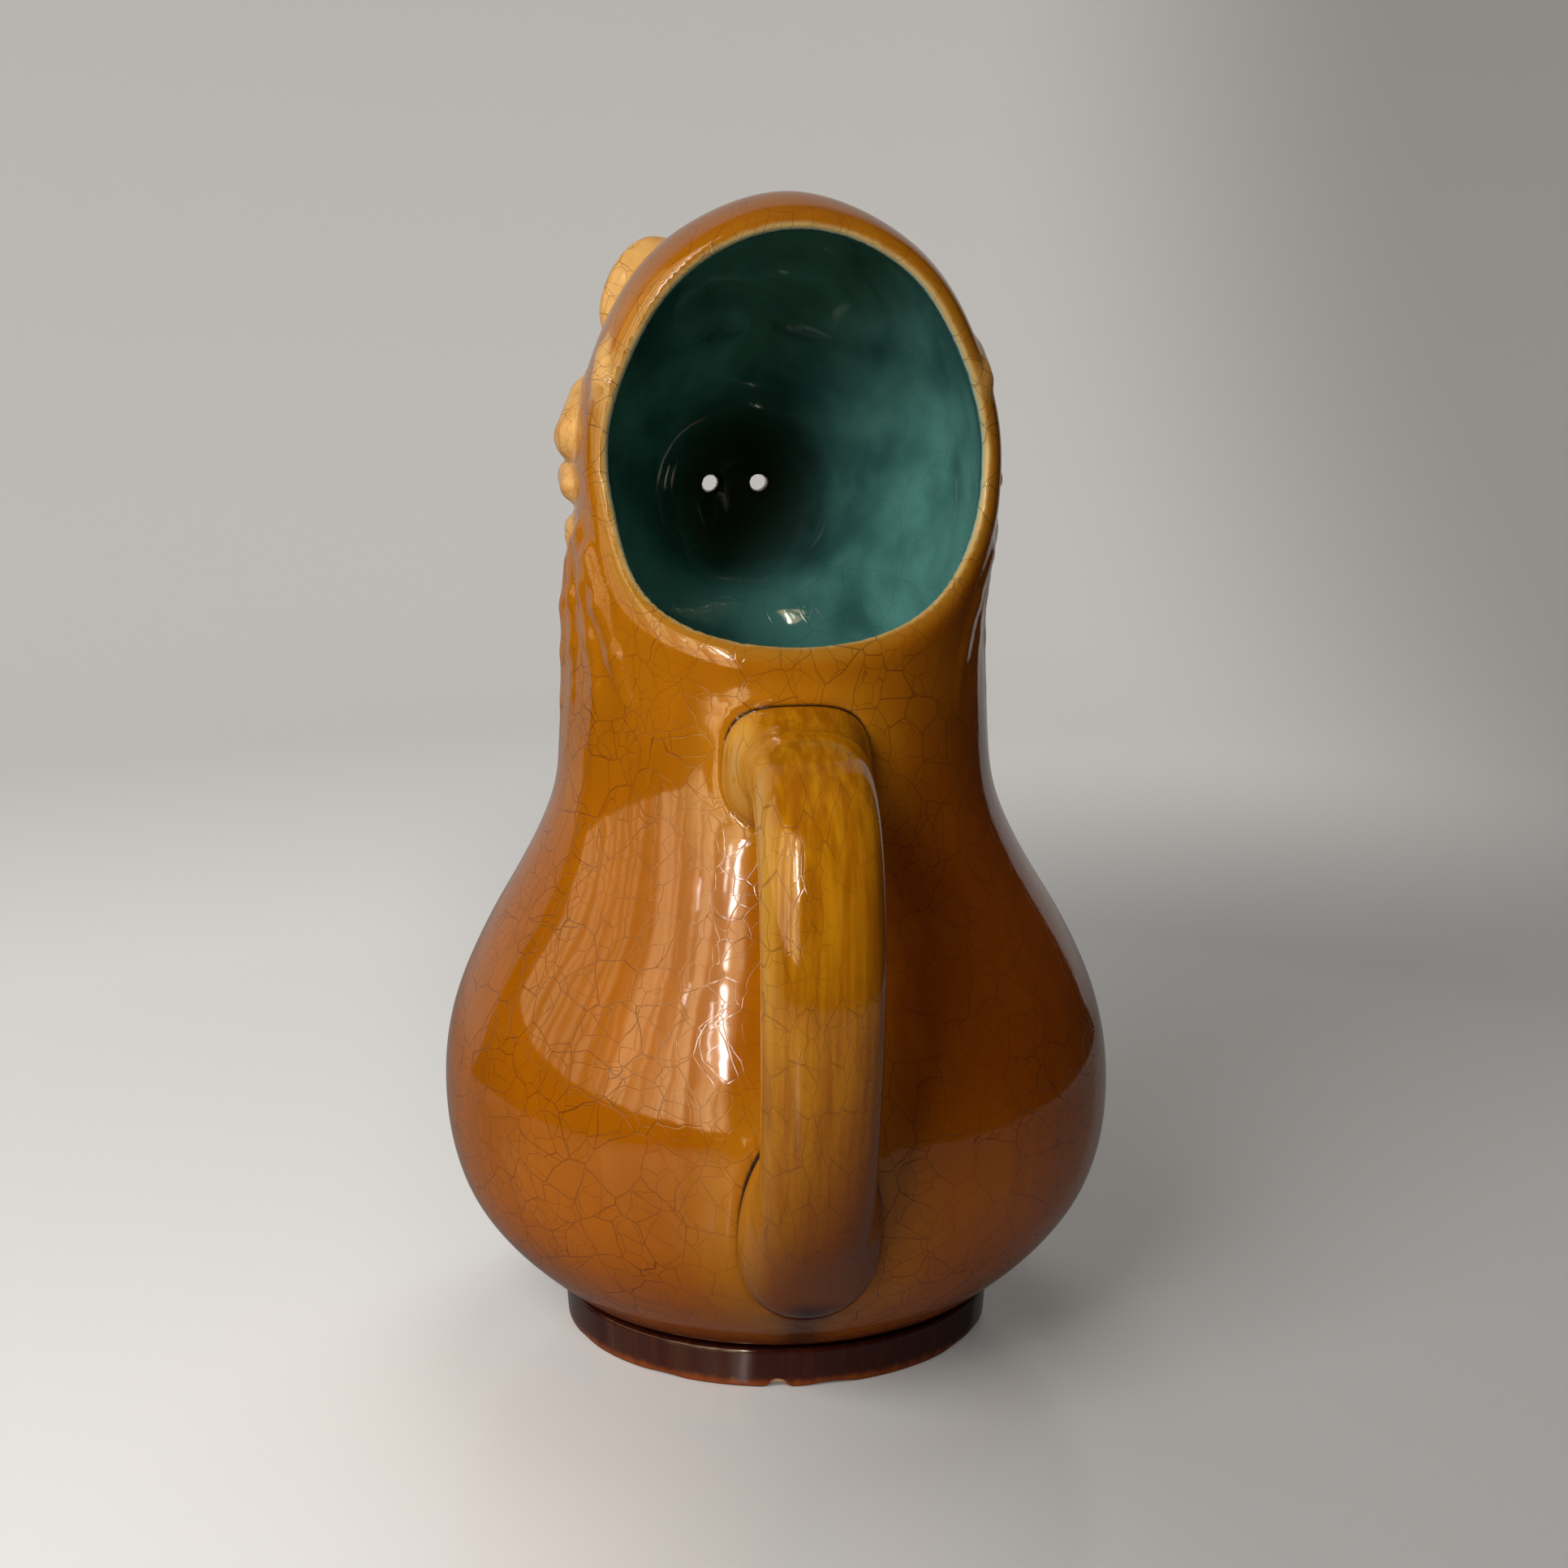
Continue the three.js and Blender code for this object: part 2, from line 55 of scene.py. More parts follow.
MM = 0.001
BODY = "root"
CHUNK = 50_000
THREADS = 4
BLOCK = 8
FAR = 50.0
FAR_OFF = 1e3
ENDLESS = 1e6
ORIGIN = (0.0, 0.0, 0.0)
# The named values that the clay skin's points carry
CLAY_VALUES = ("lip_way", "tan_way", "hollow", "pad_way", "run")
NORMAL_STEP = 0.35
Array = np.ndarray
Field = Callable[[Array], Array]
Pair = tuple[float, float]
Place = tuple[float, float, float]
Colour = tuple[float, float, float]
Band = tuple[float, ...]
Socket = bpy.types.NodeSocket
Tree = bpy.types.NodeTree
Material = bpy.types.Material
Piece = bpy.types.Object


# Helpers for distances, in millimetres


def smooth_join(a: Array, b: Array, width: float) -> Array:
    """Joins two distance fields with a fillet.

    Args:
        a: Distances to the first form.
        b: Distances to the second form.
        width: How wide the fillet reaches.

    Returns:
        Distances to the joined form.
    """
    share = np.clip(0.5 + 0.5 * (b - a) / width, 0, 1)
    return b + (a - b) * share - width * share * (1 - share)


def smooth_keep(a: Array, b: Array, width: float) -> Array:
    """Keeps what is inside both forms, with a rounded edge. Arguments as in smooth_join."""
    return -smooth_join(-a, -b, width)


def smooth_step(x: Array, low: float, high: float) -> Array:
    """A smooth ramp from 0 at low to 1 at high."""
    t = np.clip((x - low) / (high - low), 0, 1)
    return t * t * (3 - 2 * t)


def hump(x: Array, width: float) -> Array:
    """A bell of height 1 about zero, with that width to either side."""
    return np.exp(-((x / width) ** 2))


def blob(
    p: Array, centre: Sequence[float], radii: Sequence[float], power: float = 2.0
) -> Array:
    """Distance to a rounded box or egg.

    Args:
        p: Points, one a row.
        centre: Its centre.
        radii: Its half sizes.
        power: 2 is an ellipsoid, and more is boxier.

    Returns:
        Distances, exact near the skin to first order.
    """
    q = np.abs((p - np.asarray(centre)) / np.asarray(radii)) + 1e-9
    level = (q**power).sum(axis=1) ** (1 / power)
    slope = (q / level[:, None]) ** (power - 1) / np.asarray(radii)
    return (level - 1) / np.sqrt((slope**2).sum(axis=1))


def rod(
    p: Array, start: Sequence[float], end: Sequence[float], r0: float, r1: float
) -> Array:
    """Distance to a rod with round ends that tapers from one radius to another.

    Args:
        p: Points, one a row.
        start: Centre of its first end.
        end: Centre of its second end.
        r0: Radius at the first end.
        r1: Radius at the second end.

    Returns:
        Distances to the rod.
    """
    a, b = np.asarray(start, float), np.asarray(end, float)
    along = b - a
    t = np.clip(((p - a) @ along) / (along @ along), 0, 1)
    return np.linalg.norm(p - a - t[:, None] * along, axis=1) - (r0 + (r1 - r0) * t)


def near(p: Array, centre: Sequence[float], reach: float) -> Array:
    """Which points lie within a cube of that reach about a centre."""
    return (np.abs(p - np.asarray(centre)) < reach).all(axis=1)


def add_near(
    d: Array, p: Array, centre: Sequence[float], reach: float, form: Field, width: float
) -> None:
    """Joins a small form to a field, only at the points near it.

    Args:
        d: The field's distances, changed in place.
        p: Points, one a row.
        centre: Middle of the small form.
        reach: How far from there it counts.
        form: The small form's distance.
        width: Fillet width. A negative width cuts the form out instead.
    """
    mask = near(p, centre, reach)
    if not mask.any():
        return
    other = form(p[mask])
    d[mask] = smooth_join(d[mask], other, width) if width > 0 else smooth_keep(d[mask], -other, -width)


def add_rod(
    d: Array, p: Array, a: Array, b: Array, radii: Sequence[float], spare: float, width: float
) -> None:
    """Joins a rod to a field. Its reach is that much more than half its length."""
    form = partial(rod, start=a, end=b, r0=radii[0], r1=radii[1])
    add_near(d, p, (a + b) / 2, float(np.linalg.norm(b - a)) / 2 + spare, form, width)


def spline(points: Array, steps: int) -> Array:
    """Points along the cubic B-spline of a control polygon.

    Args:
        points: Control points, one a row.
        steps: Samples in each span.

    Returns:
        Sampled points, from near the second control point to near the last but one.
    """
    t = (np.arange(steps) / steps)[:, None]
    weights = ((1 - t) ** 3, 3 * t**3 - 6 * t**2 + 4, -3 * t**3 + 3 * t**2 + 3 * t + 1, t**3)
    spans = [
        sum(w * points[i + j] for j, w in enumerate(weights)) / 6 for i in range(len(points) - 3)
    ]
    return np.vstack(spans)


class PlanarTable:
    """Values over a plane, kept on a square grid and read back smoothly."""

    def __init__(self, low: Sequence[float], high: Sequence[float], step: float, fill: Field) -> None:
        """Fills the table.

        Args:
            low: Its lowest corner.
            high: Its highest corner.
            step: Grid step.
            fill: Gives the values, one or more columns, at points of the plane.
        """
        self.low, self.step = np.asarray(low, float), step
        self.shape = tuple(int((b - a) / step) + 4 for a, b in zip(low, high))
        axes = [self.low[i] + step * (np.arange(self.shape[i]) - 1) for i in range(2)]
        grid = np.stack(np.meshgrid(*axes, indexing="ij"), axis=-1).reshape(-1, 2)
        self.values = np.concatenate([fill(part) for part in np.array_split(grid, 64)])

    def read(self, u: Array, v: Array) -> Array:
        """Values at points of the plane.

        Args:
            u: First coordinates.
            v: Second coordinates.

        Returns:
            One row of values for each point.
        """
        at = (np.stack([u, v]) - self.low[:, None]) / self.step + 1
        top = np.array(self.shape)[:, None] - 3.001
        at = np.clip(at, 1, top)
        cell = at.astype(int)
        t = at - cell
        # Catmull-Rom weights along either axis
        w = [0.5 * (-t + 2 * t**2 - t**3), 0.5 * (2 - 5 * t**2 + 3 * t**3)]
        w += [0.5 * (t + 4 * t**2 - 3 * t**3), 0.5 * (t**3 - t**2)]
        out = 0.0
        for i in range(4):
            for j in range(4):
                index = (cell[0] + i - 1) * self.shape[1] + cell[1] + j - 1
                out = out + self.values[index] * (w[i][0] * w[j][1])[:, None]
        return out


# The clay form


@dataclass
class Pot:
    """The pear-shaped pot whose neck grows into a head that is open at the back. Millimetres."""

    foot_height: float = 9.0
    start_radius: float = 47.6
    belly_radius: float = 75.0
    belly_height: float = 55.0
    neck_radius: float = 46.8
    neck_height: float = 145.0
    head_radius: float = 46.6
    head_height: float = 107.5
    head_stretch: float = 0.25
    lean: float = 2.45
    lean_heights: Pair = (160.0, 188.0)
    neck_lean: float = 0.4
    neck_heights: Pair = (85.0, 140.0)
    wall: float = 4.8
    recess: float = 1.2
    plug_radius: float = 39.7
    floor_top: float = 6.6
    floor_flat: float = 22.0
    floor_rise: float = 9.6
    floor_edge: float = 48.0
    rim_floor_rise: float = 15.0
    rim_floor_slope: float = math.radians(28)
    rim_back_depth: float = 20.3
    rim_back_tilt: float = math.radians(4)
    rim_bend: float = 30.0
    lip_round: float = 4.2
    unevenness: float = 0.18
    # Share of the way up, and share of the way out, of each part of the outline
    lower_shares: tuple = (
        (0, 0), (0.08, 0.175), (0.24, 0.482), (0.4, 0.712), (0.565, 0.874), (0.78, 0.972), (1, 1),
    )  # fmt: skip
    upper_shares: tuple = (
        (0.11, 0.985), (0.222, 0.911), (0.333, 0.767), (0.444, 0.586), (0.525, 0.425),
        (0.611, 0.271), (0.7, 0.135), (0.8, 0.03), (1, 0),
    )  # fmt: skip
    crown_shares: tuple = (
        (0.14, 0.99), (0.326, 0.984), (0.465, 1.0), (0.558, 0.98), (0.645, 0.928),
        (0.716, 0.864), (0.78, 0.796), (0.837, 0.712), (0.888, 0.605), (0.932, 0.47),
        (0.967, 0.32), (0.991, 0.158), (1, 0),
    )  # fmt: skip
    curve_steps: int = 16
    table_box: tuple = ((0, -6), (112, 262), 0.5)
    stretch_shares: Pair = (0.05, 0.65)
    table: PlanarTable = field(init=False)
    curve: Array = field(init=False)

    def __post_init__(self) -> None:
        """Works out the outline and its distance table."""
        foot, belly, neck = self.foot_height, self.belly_height, self.neck_height
        start, wide, narrow = self.start_radius, self.belly_radius, self.neck_radius
        rows = [
            (start + (wide - start) * out, foot + (belly - foot) * up)
            for up, out in self.lower_shares
        ]
        rows += [
            (narrow + (wide - narrow) * out, belly + (neck - belly) * up)
            for up, out in self.upper_shares
        ]
        rows += [
            (self.head_radius * out, neck + self.head_height * up)
            for up, out in self.crown_shares
        ]
        (r0, z0), (r1, z1) = rows[0], rows[1]
        below = [(r0 - 3 * (r1 - r0), z0 - 3 * (z1 - z0)), (r0 - (r1 - r0), z0 - (z1 - z0))]
        over = [(-r, z) for r, z in (rows[-2], rows[-3])]
        self.curve = spline(np.array(below + rows + over), self.curve_steps)
        self.table = PlanarTable(*self.table_box, self.outline_distance)

    def outline_distance(self, q: Array) -> Array:
        """Signed distance to the outline in the plane of radius and height."""
        a, b = self.curve[:-1], self.curve[1:]
        along = b - a
        length = (along**2).sum(axis=1)
        off = q[:, None] - a[None]
        t = np.clip((off * along[None]).sum(axis=2) / length, 0, 1)
        gap = off - t[..., None] * along[None]
        square = (gap**2).sum(axis=2)
        nearest = square.argmin(axis=1)
        rows = np.arange(len(q))
        g, n = gap[rows, nearest], along[nearest]
        side = np.sign(n[:, 1] * g[:, 0] - n[:, 0] * g[:, 1])
        return (np.sqrt(square[rows, nearest]) * np.where(side == 0, 1, side))[:, None]

    def shift(self, z: Array) -> Array:
        """How far the pot stands to one side: the neck to the left and the head to the right."""
        neck = self.neck_lean * smooth_step(z, *self.neck_heights)
        return (self.lean + self.neck_lean) * smooth_step(z, *self.lean_heights) - neck

    def stretch(self, z: Array) -> Array:
        """How many times deeper than wide the pot is at a height."""
        low, high = (self.neck_height + share * self.head_height for share in self.stretch_shares)
        return 1 + self.head_stretch * smooth_step(z, low, high)

    def outer(self, p: Array) -> Array:
        """Distance to the pot's filled block, without its face."""
        x, y, z = p[:, 0] - self.shift(p[:, 2]), p[:, 1] / self.stretch(p[:, 2]), p[:, 2]
        return self.table.read(np.hypot(x, y), z)[:, 0]

    def wobble(self, p: Array) -> Array:
        """The slight unevenness of a hand-finished cast, from waves counted in radians a metre."""
        x, y, z = p.T / 1000
        wave = np.sin(61 * x + 37 * z + 1.3) * np.sin(53 * y - 41 * z + 0.4)
        wave += 0.5 * np.sin(97 * x - 71 * y + 2.1) * np.sin(113 * z + 31 * x)
        return self.unevenness * wave

    def floor(self, p: Array) -> Array:
        """Height of the dished floor inside, under each point."""
        r = np.hypot(p[:, 0], p[:, 1])
        return self.floor_top + self.floor_rise * smooth_step(r, self.floor_flat, self.floor_edge)

    def opening(self, p: Array) -> Array:
        """Distance from the opening in the back of the head. It is negative in what is cut away."""
        slope, tilt = self.rim_floor_slope, self.rim_back_tilt
        y, z = p[:, 1], p[:, 2]
        rise = z - self.neck_height - self.rim_floor_rise
        under = math.sin(slope) * (y + self.neck_radius) - math.cos(slope) * rise
        top = self.neck_height + self.head_height
        before = math.cos(tilt) * (y + self.rim_back_depth) + math.sin(tilt) * (z - top)
        return smooth_keep(under, before, self.rim_bend)


@dataclass
class Face:
    """The monkey's face, ears and ruff, which grow out of the pot's head. Millimetres."""

    pot: Pot
    muzzle_radii: Place = (25.0, 44.25, 26.5)
    muzzle_centre: Place = (0.0, 38.0, 182.0)
    muzzle_power: float = 2.5
    muzzle_wall: float = 4.6
    hole_radius: float = 2.0
    hole_offset: float = 6.0
    mouth_height: float = 171.5
    eye_offset: float = 15.0
    eye_height: float = 225.4
    eye_radius: float = 8.2
    ear_turn: float = math.radians(51)
    ear_height: float = 229.9
    ear_flare: float = math.radians(22)
    ear_tilt: float = math.radians(30)
    ear_sink: float = 2.4
    brow_height: float = 238.8
    brow_radius: float = 3.4
    muzzle_join: float = 10.0
    muzzle_hollow_power: float = 2.1
    muzzle_hollow_join: float = 13.0
    # Start, end and radii of the bridge of the nose, and the middle and reach of its join
    bridge: tuple = ((0, 44, 226), (0, 63, 201), 4.2, 7.5)
    bridge_near: tuple = ((0, 58, 211), 24)
    # Place on the right, radii, reach and join of a cheek and of a wing of the nose
    muzzle_lumps: tuple = (
        ((10.5, 62, 187), (12, 15, 12.5), 26, 9),
        ((6.4, 76.4, 182.4), (5.4, 4.4, 5.0), 14, 3),
    )
    # Place and radii of the lower lip, and the middle and reach of its join
    lower_lip: tuple = ((0, 66.5, 163.5), (12.5, 9.5, 6.2))
    lower_lip_near: tuple = ((0, 72, 163), 22)
    mouth_half: Pair = (20.0, 0.55)
    mouth_bend: float = 0.0085
    mouth_depth: float = 1.7
    mouth_fade: Pair = (10.0, 19.0)
    gaze: Place = (0.22, 0.97, 0.05)
    eye_sink: float = 3.4
    socket_out: float = 10.5
    socket_radii: Place = (11, 8, 9)
    lid: float = 1.5
    eye_gap: Pair = (6.9, 4.3)
    eye_gap_arch: float = 0.02
    eye_gap_floor: float = 3.2
    eye_hollow_back: Place = (0, 9.7, 0.5)
    eye_hollow_radii: Place = (10.6, 6.8, 8.8)
    # First turn, last turn and number of points along the brow
    brow_turns: tuple = (-35, 35, 13)
    brow_dip: float = 4.0
    brow_sink: float = 0.6
    # Place in the ear's own frame, radii and power of each of its parts
    ear_disc: tuple = ((-0.6, 0, 0), (9.6, 13.4, 3.8), 2.2)
    ear_root: tuple = ((-1.3, 0, -2.6), (8.2, 11.4, 4.8))
    ear_bowl: tuple = ((0.2, -0.6, 3.8), (6.3, 9.0, 3.6))
    ear_knot: tuple = ((-3.5, -3.0, 1.4), (2.6, 3.6, 1.6))
    strand_depths: Pair = (2.3, 3.0)
    strand_radius: float = 3.3
    strand_taper: float = 0.16
    # The tan glaze round the bridge, an eye and an ear
    tan_bridge: tuple = ((0, 46, 224), (0, 62, 202), 8.5, 9.5)
    tan_eye: tuple = ((0, 2, 0.5), (12.6, 11, 11))
    tan_ear: tuple = ((0.5, 0, -1), (10.2, 13.6, 6.4), 2.5)

    def __post_init__(self) -> None:
        """Places the eyes, ears and ruff on the head."""
        self.eyes = [
            self.on_head(side * self.eye_offset, self.eye_height, self.eye_sink) for side in (-1, 1)
        ]
        self.ears = [
            self.at_turn(side * self.ear_turn, self.ear_height, self.ear_sink) for side in (-1, 1)
        ]
        for ear in self.ears:
            ear[0] -= float(self.pot.shift(np.array([ear[2]]))[0])

    def at_turn(self, turn: float, height: float, depth: float) -> Array:
        """A point of the pot's skin, or that far under it.

        Args:
            turn: Angle round the head from the face (+Y) towards +X.
            height: Its height.
            depth: How deep under the skin.

        Returns:
            The point.
        """
        rows = self.pot.curve[: self.pot.curve[:, 1].argmax()]
        radius = float(np.interp(height, rows[:, 1], rows[:, 0]))
        z = np.array([height])
        stretch, lean = float(self.pot.stretch(z)[0]), float(self.pot.shift(z)[0])
        r = radius - depth
        return np.array([r * math.sin(turn) + lean, r * math.cos(turn) * stretch, height])

    def on_head(self, x: float, height: float, depth: float) -> Array:
        """A point under the skin of the face, that far to one side. Arguments as in at_turn."""
        low, high = 0.0, math.copysign(math.pi / 2, x)
        for _ in range(30):
            middle = (low + high) / 2
            spot = self.at_turn(middle, height, depth)
            spot_x = spot[0] - float(self.pot.shift(np.array([height]))[0])
            low, high = (middle, high) if abs(spot_x) < abs(x) else (low, middle)
        return self.at_turn(low, height, depth)

    def muzzle(self, p: Array, inset: float) -> Array:
        """Distance to the muzzle's plain block, inset from its skin."""
        radii = [r - inset for r in self.muzzle_radii]
        return blob(p, self.muzzle_centre, radii, self.muzzle_power)

    def tufts(self) -> list[tuple[Array, Array, float, float]]:
        """The ruff's locks: start, end, and radius at either end."""
        locks = []
        rows = (
            # Turn and height of root, the same of tip, root and tip radius, depth, more on the right
            (101, 218.5, 106, 213.0, 3.0, 3.4, 2.0, 0.6),
            (82, 208.5, 87, 200.5, 4.4, 6.4, 2.0, 2.6),
            (84, 191.6, 88, 190.0, 4.2, 3.8, 0.7, 0.9),
            (82, 180.2, 85, 178.6, 3.0, 2.7, 1.0, -1.2),
            (68, 211.0, 72, 203.0, 4.6, 4.6, 2.8, 1.8),
            (70, 196.0, 74, 192.0, 4.2, 3.6, 2.4, 1.8),
            (62, 194.0, 68, 184.0, 4.6, 3.6, 2.8, 1.8),
            (58, 178.0, 66, 167.0, 4.2, 2.8, 2.4, 1.8),
        )
        for side in (-1, 1):
            for t0, z0, t1, z1, r0, r1, sunk, more in rows:
                deep = sunk + (more if side > 0 else 0)
                a = self.at_turn(side * math.radians(t0), z0, deep)
                b = self.at_turn(side * math.radians(t1), z1, deep)
                locks.append((a, b, r0, r1))
        return locks

    def strands(self) -> list[list[Array]]:
        """Long locks that flow down the neck from the ruff: points along each."""
        rows = (
            ((76, 171), (80, 162), (82, 153), (82, 143), (80, 131)),
            ((86, 173), (90, 164), (92, 154), (92, 143), (89, 131)),
            ((93, 177), (99, 167), (103, 157), (104, 146), (101, 133)),
            ((99, 180), (108, 170), (115, 159), (118, 149), (117, 138)),
            ((108, 176), (118, 167), (126, 157), (131, 147)),
            ((66, 168), (70, 158), (72, 147), (70, 136)),
            ((57, 166), (60, 155), (61, 144), (58, 134)),
            ((47, 162), (49, 151), (49, 141)),
            ((36, 158), (37, 147), (37, 138)),
            ((24, 156), (25, 145), (25, 134)),
            ((11, 155), (12, 143), (12, 131)),
        )
        return [
            [self.at_turn(side * math.radians(t), z, deep) for t, z in row]
            for side, deep in zip((-1, 1), self.strand_depths)
            for row in rows
        ]

    def add(self, d: Array, p: Array) -> None:
        """Joins the face to the head.

        Args:
            d: Distances to the pot's filled block, changed in place.
            p: Points, one a row.
        """
        front = (p[:, 1] > 5) & (p[:, 2] > 140) & (p[:, 2] < 250)
        if front.any():
            d[front] = smooth_join(d[front], self.muzzle(p[front], 0), self.muzzle_join)
        self.add_muzzle_form(d, p)
        self.add_eyes(d, p)
        self.add_ears(d, p)
        for a, b, *radii in self.tufts():
            add_rod(d, p, a, b, radii, max(radii) + 5, 1.6)
        for spots in self.strands():
            for i, (a, b) in enumerate(zip(spots, spots[1:])):
                radii = [self.strand_radius * (1 - self.strand_taper * j) for j in (i, i + 1)]
                add_rod(d, p, a, b, radii, 6, 2.4)

    def add_muzzle_form(self, d: Array, p: Array) -> None:
        """Nose, lips and mouth on the muzzle. Arguments as in add."""
        add_near(d, p, *self.bridge_near, lambda q: rod(q, *self.bridge), 9)
        for side in (-1, 1):
            for (x, y, z), radii, reach, join in self.muzzle_lumps:
                place = (side * x, y, z)
                add_near(d, p, place, reach, partial(blob, centre=place, radii=radii), join)
        add_near(d, p, *self.lower_lip_near, lambda q: blob(q, *self.lower_lip), 5)

        mask = near(p, (0, 64, self.mouth_height), 30)
        if mask.any():
            q = p[mask]
            wide, open_half = self.mouth_half
            line = self.mouth_height + self.mouth_bend * q[:, 0] ** 2
            slit = np.maximum(np.abs(q[:, 2] - line) - open_half, np.abs(q[:, 0]) - wide)
            deep = self.mouth_depth * (1 - smooth_step(np.abs(q[:, 0]), *self.mouth_fade))
            d[mask] = smooth_keep(d[mask], -np.maximum(slit, -deep - d[mask]), 1.6)

    def lids(self, p: Array, eye: Array) -> Array:
        """Distance to the lids round an eye."""
        return np.linalg.norm(p - eye, axis=1) - self.eye_radius - self.lid

    def gap(self, p: Array, eye: Array, axes: Sequence[Array]) -> Array:
        """Distance to the gap between an eye's lids, in its axes across, up and forward."""
        u, v, w = ((p - eye) @ axis for axis in axes)
        arch = v + self.eye_gap_arch * u**2
        wide, high = self.eye_gap
        oval = np.sqrt((u / wide) ** 2 + (arch / high) ** 2) * high - high
        return np.maximum(oval, self.eye_gap_floor - w)

    def add_eyes(self, d: Array, p: Array) -> None:
        """Sockets, lids and brow. Arguments as in add."""
        for side, eye in zip((-1, 1), self.eyes):
            look = np.array([side * self.gaze[0], *self.gaze[1:]])
            look /= np.linalg.norm(look)
            across = np.cross(look, (0, 0, 1))
            across /= np.linalg.norm(across)
            up = np.cross(across, look)
            socket = eye + self.socket_out * look
            add_near(d, p, socket, 24, partial(blob, centre=socket, radii=self.socket_radii), -5)

            add_near(d, p, eye, 22, partial(self.lids, eye=eye), 2.5)
            add_near(d, p, eye, 20, partial(self.gap, eye=eye, axes=(across, up, look)), -1.1)
        turns = np.radians(np.linspace(*self.brow_turns))
        spots = []
        for turn in turns:
            share = turn / turns[-1]
            dip = 1 - float(smooth_step(np.array([abs(share)]), 0, 0.4)[0]) + share**4
            spots.append(self.at_turn(turn, self.brow_height - self.brow_dip * dip, self.brow_sink))
        for i, (a, b) in enumerate(zip(spots, spots[1:])):
            thin = [self.brow_radius * (1 - 0.5 * abs(turns[j] / turns[-1]) ** 4) for j in (i, i + 1)]
            add_near(d, p, (a + b) / 2, 14, partial(rod, start=a, end=b, r0=thin[0], r1=thin[1]), 3.5)

    def ear_local(self, p: Array, side: int, ear: Array) -> Array:
        """Places in an ear's own frame: outward across it, up along it and the way that its bowl faces.

        Args:
            p: Points, one a row.
            side: -1 for the left ear and 1 for the right one.
            ear: The ear's middle.

        Returns:
            The three places of each point.
        """
        facing = np.array([side * math.sin(self.ear_flare), math.cos(self.ear_flare), 0])
        out = np.array([side * math.cos(self.ear_flare), -math.sin(self.ear_flare), 0])
        up = np.array([0, 0, 1.0])
        c, s = math.cos(self.ear_tilt), math.sin(self.ear_tilt)
        return (p - ear) @ np.stack([c * out + s * up, c * up - s * out, facing], axis=1)

    def ear(self, p: Array, side: int, middle: Array) -> Array:
        """Distance to an ear."""
        local = self.ear_local(p, side, middle)
        disc = smooth_join(blob(local, *self.ear_disc), blob(local, *self.ear_root), 4)
        made = smooth_keep(disc, -blob(local, *self.ear_bowl), 1.2)
        return smooth_join(made, blob(local, *self.ear_knot), 1.5)

    def add_ears(self, d: Array, p: Array) -> None:
        """Ears: oval bowls with a rolled edge. Arguments as in add."""
        for side, ear in zip((-1, 1), self.ears):
            add_near(d, p, ear, 22, partial(self.ear, side=side, middle=ear), 2.2)

    def hollow(self, d: Array, p: Array) -> None:
        """Joins the insides of the muzzle and the eyes to the pot's hollow. Arguments as in add."""
        front = (p[:, 1] > -12) & (p[:, 2] > 140) & (p[:, 2] < 226)
        if front.any():
            radii = [r - self.muzzle_wall for r in self.muzzle_radii]
            inner = blob(p[front], self.muzzle_centre, radii, self.muzzle_hollow_power)
            d[front] = smooth_join(d[front], inner, self.muzzle_hollow_join)
        for eye in self.eyes:
            centre = eye - np.array(self.eye_hollow_back)
            add_near(d, p, centre, 27, partial(blob, centre=centre, radii=self.eye_hollow_radii), 5)

    def tan_way(self, p: Array) -> Array:
        """Millimetres from the tan parts, which are the face, the ears and the ruff's locks."""
        d = self.muzzle(p, -1.0)
        d = smooth_join(d, rod(p, *self.tan_bridge), 6)
        for side, eye, ear in zip((-1, 1), self.eyes, self.ears):
            place, radii = self.tan_eye
            d = smooth_join(d, blob(p, eye + place, radii), 5)
            d = np.minimum(d, blob(self.ear_local(p, side, ear), *self.tan_ear))
        for a, b, r0, r1 in self.tufts():
            d = np.minimum(d, rod(p, a, b, r0, r1) - 0.2)
        return d

    def holes(self, p: Array) -> Array:
        """Distance to the two pouring holes, which are also the nostrils."""
        side = np.hypot(np.abs(p[:, 0]) - self.hole_offset, p[:, 2] - self.muzzle_centre[2])
        return np.maximum(side - self.hole_radius, 60 - p[:, 1])


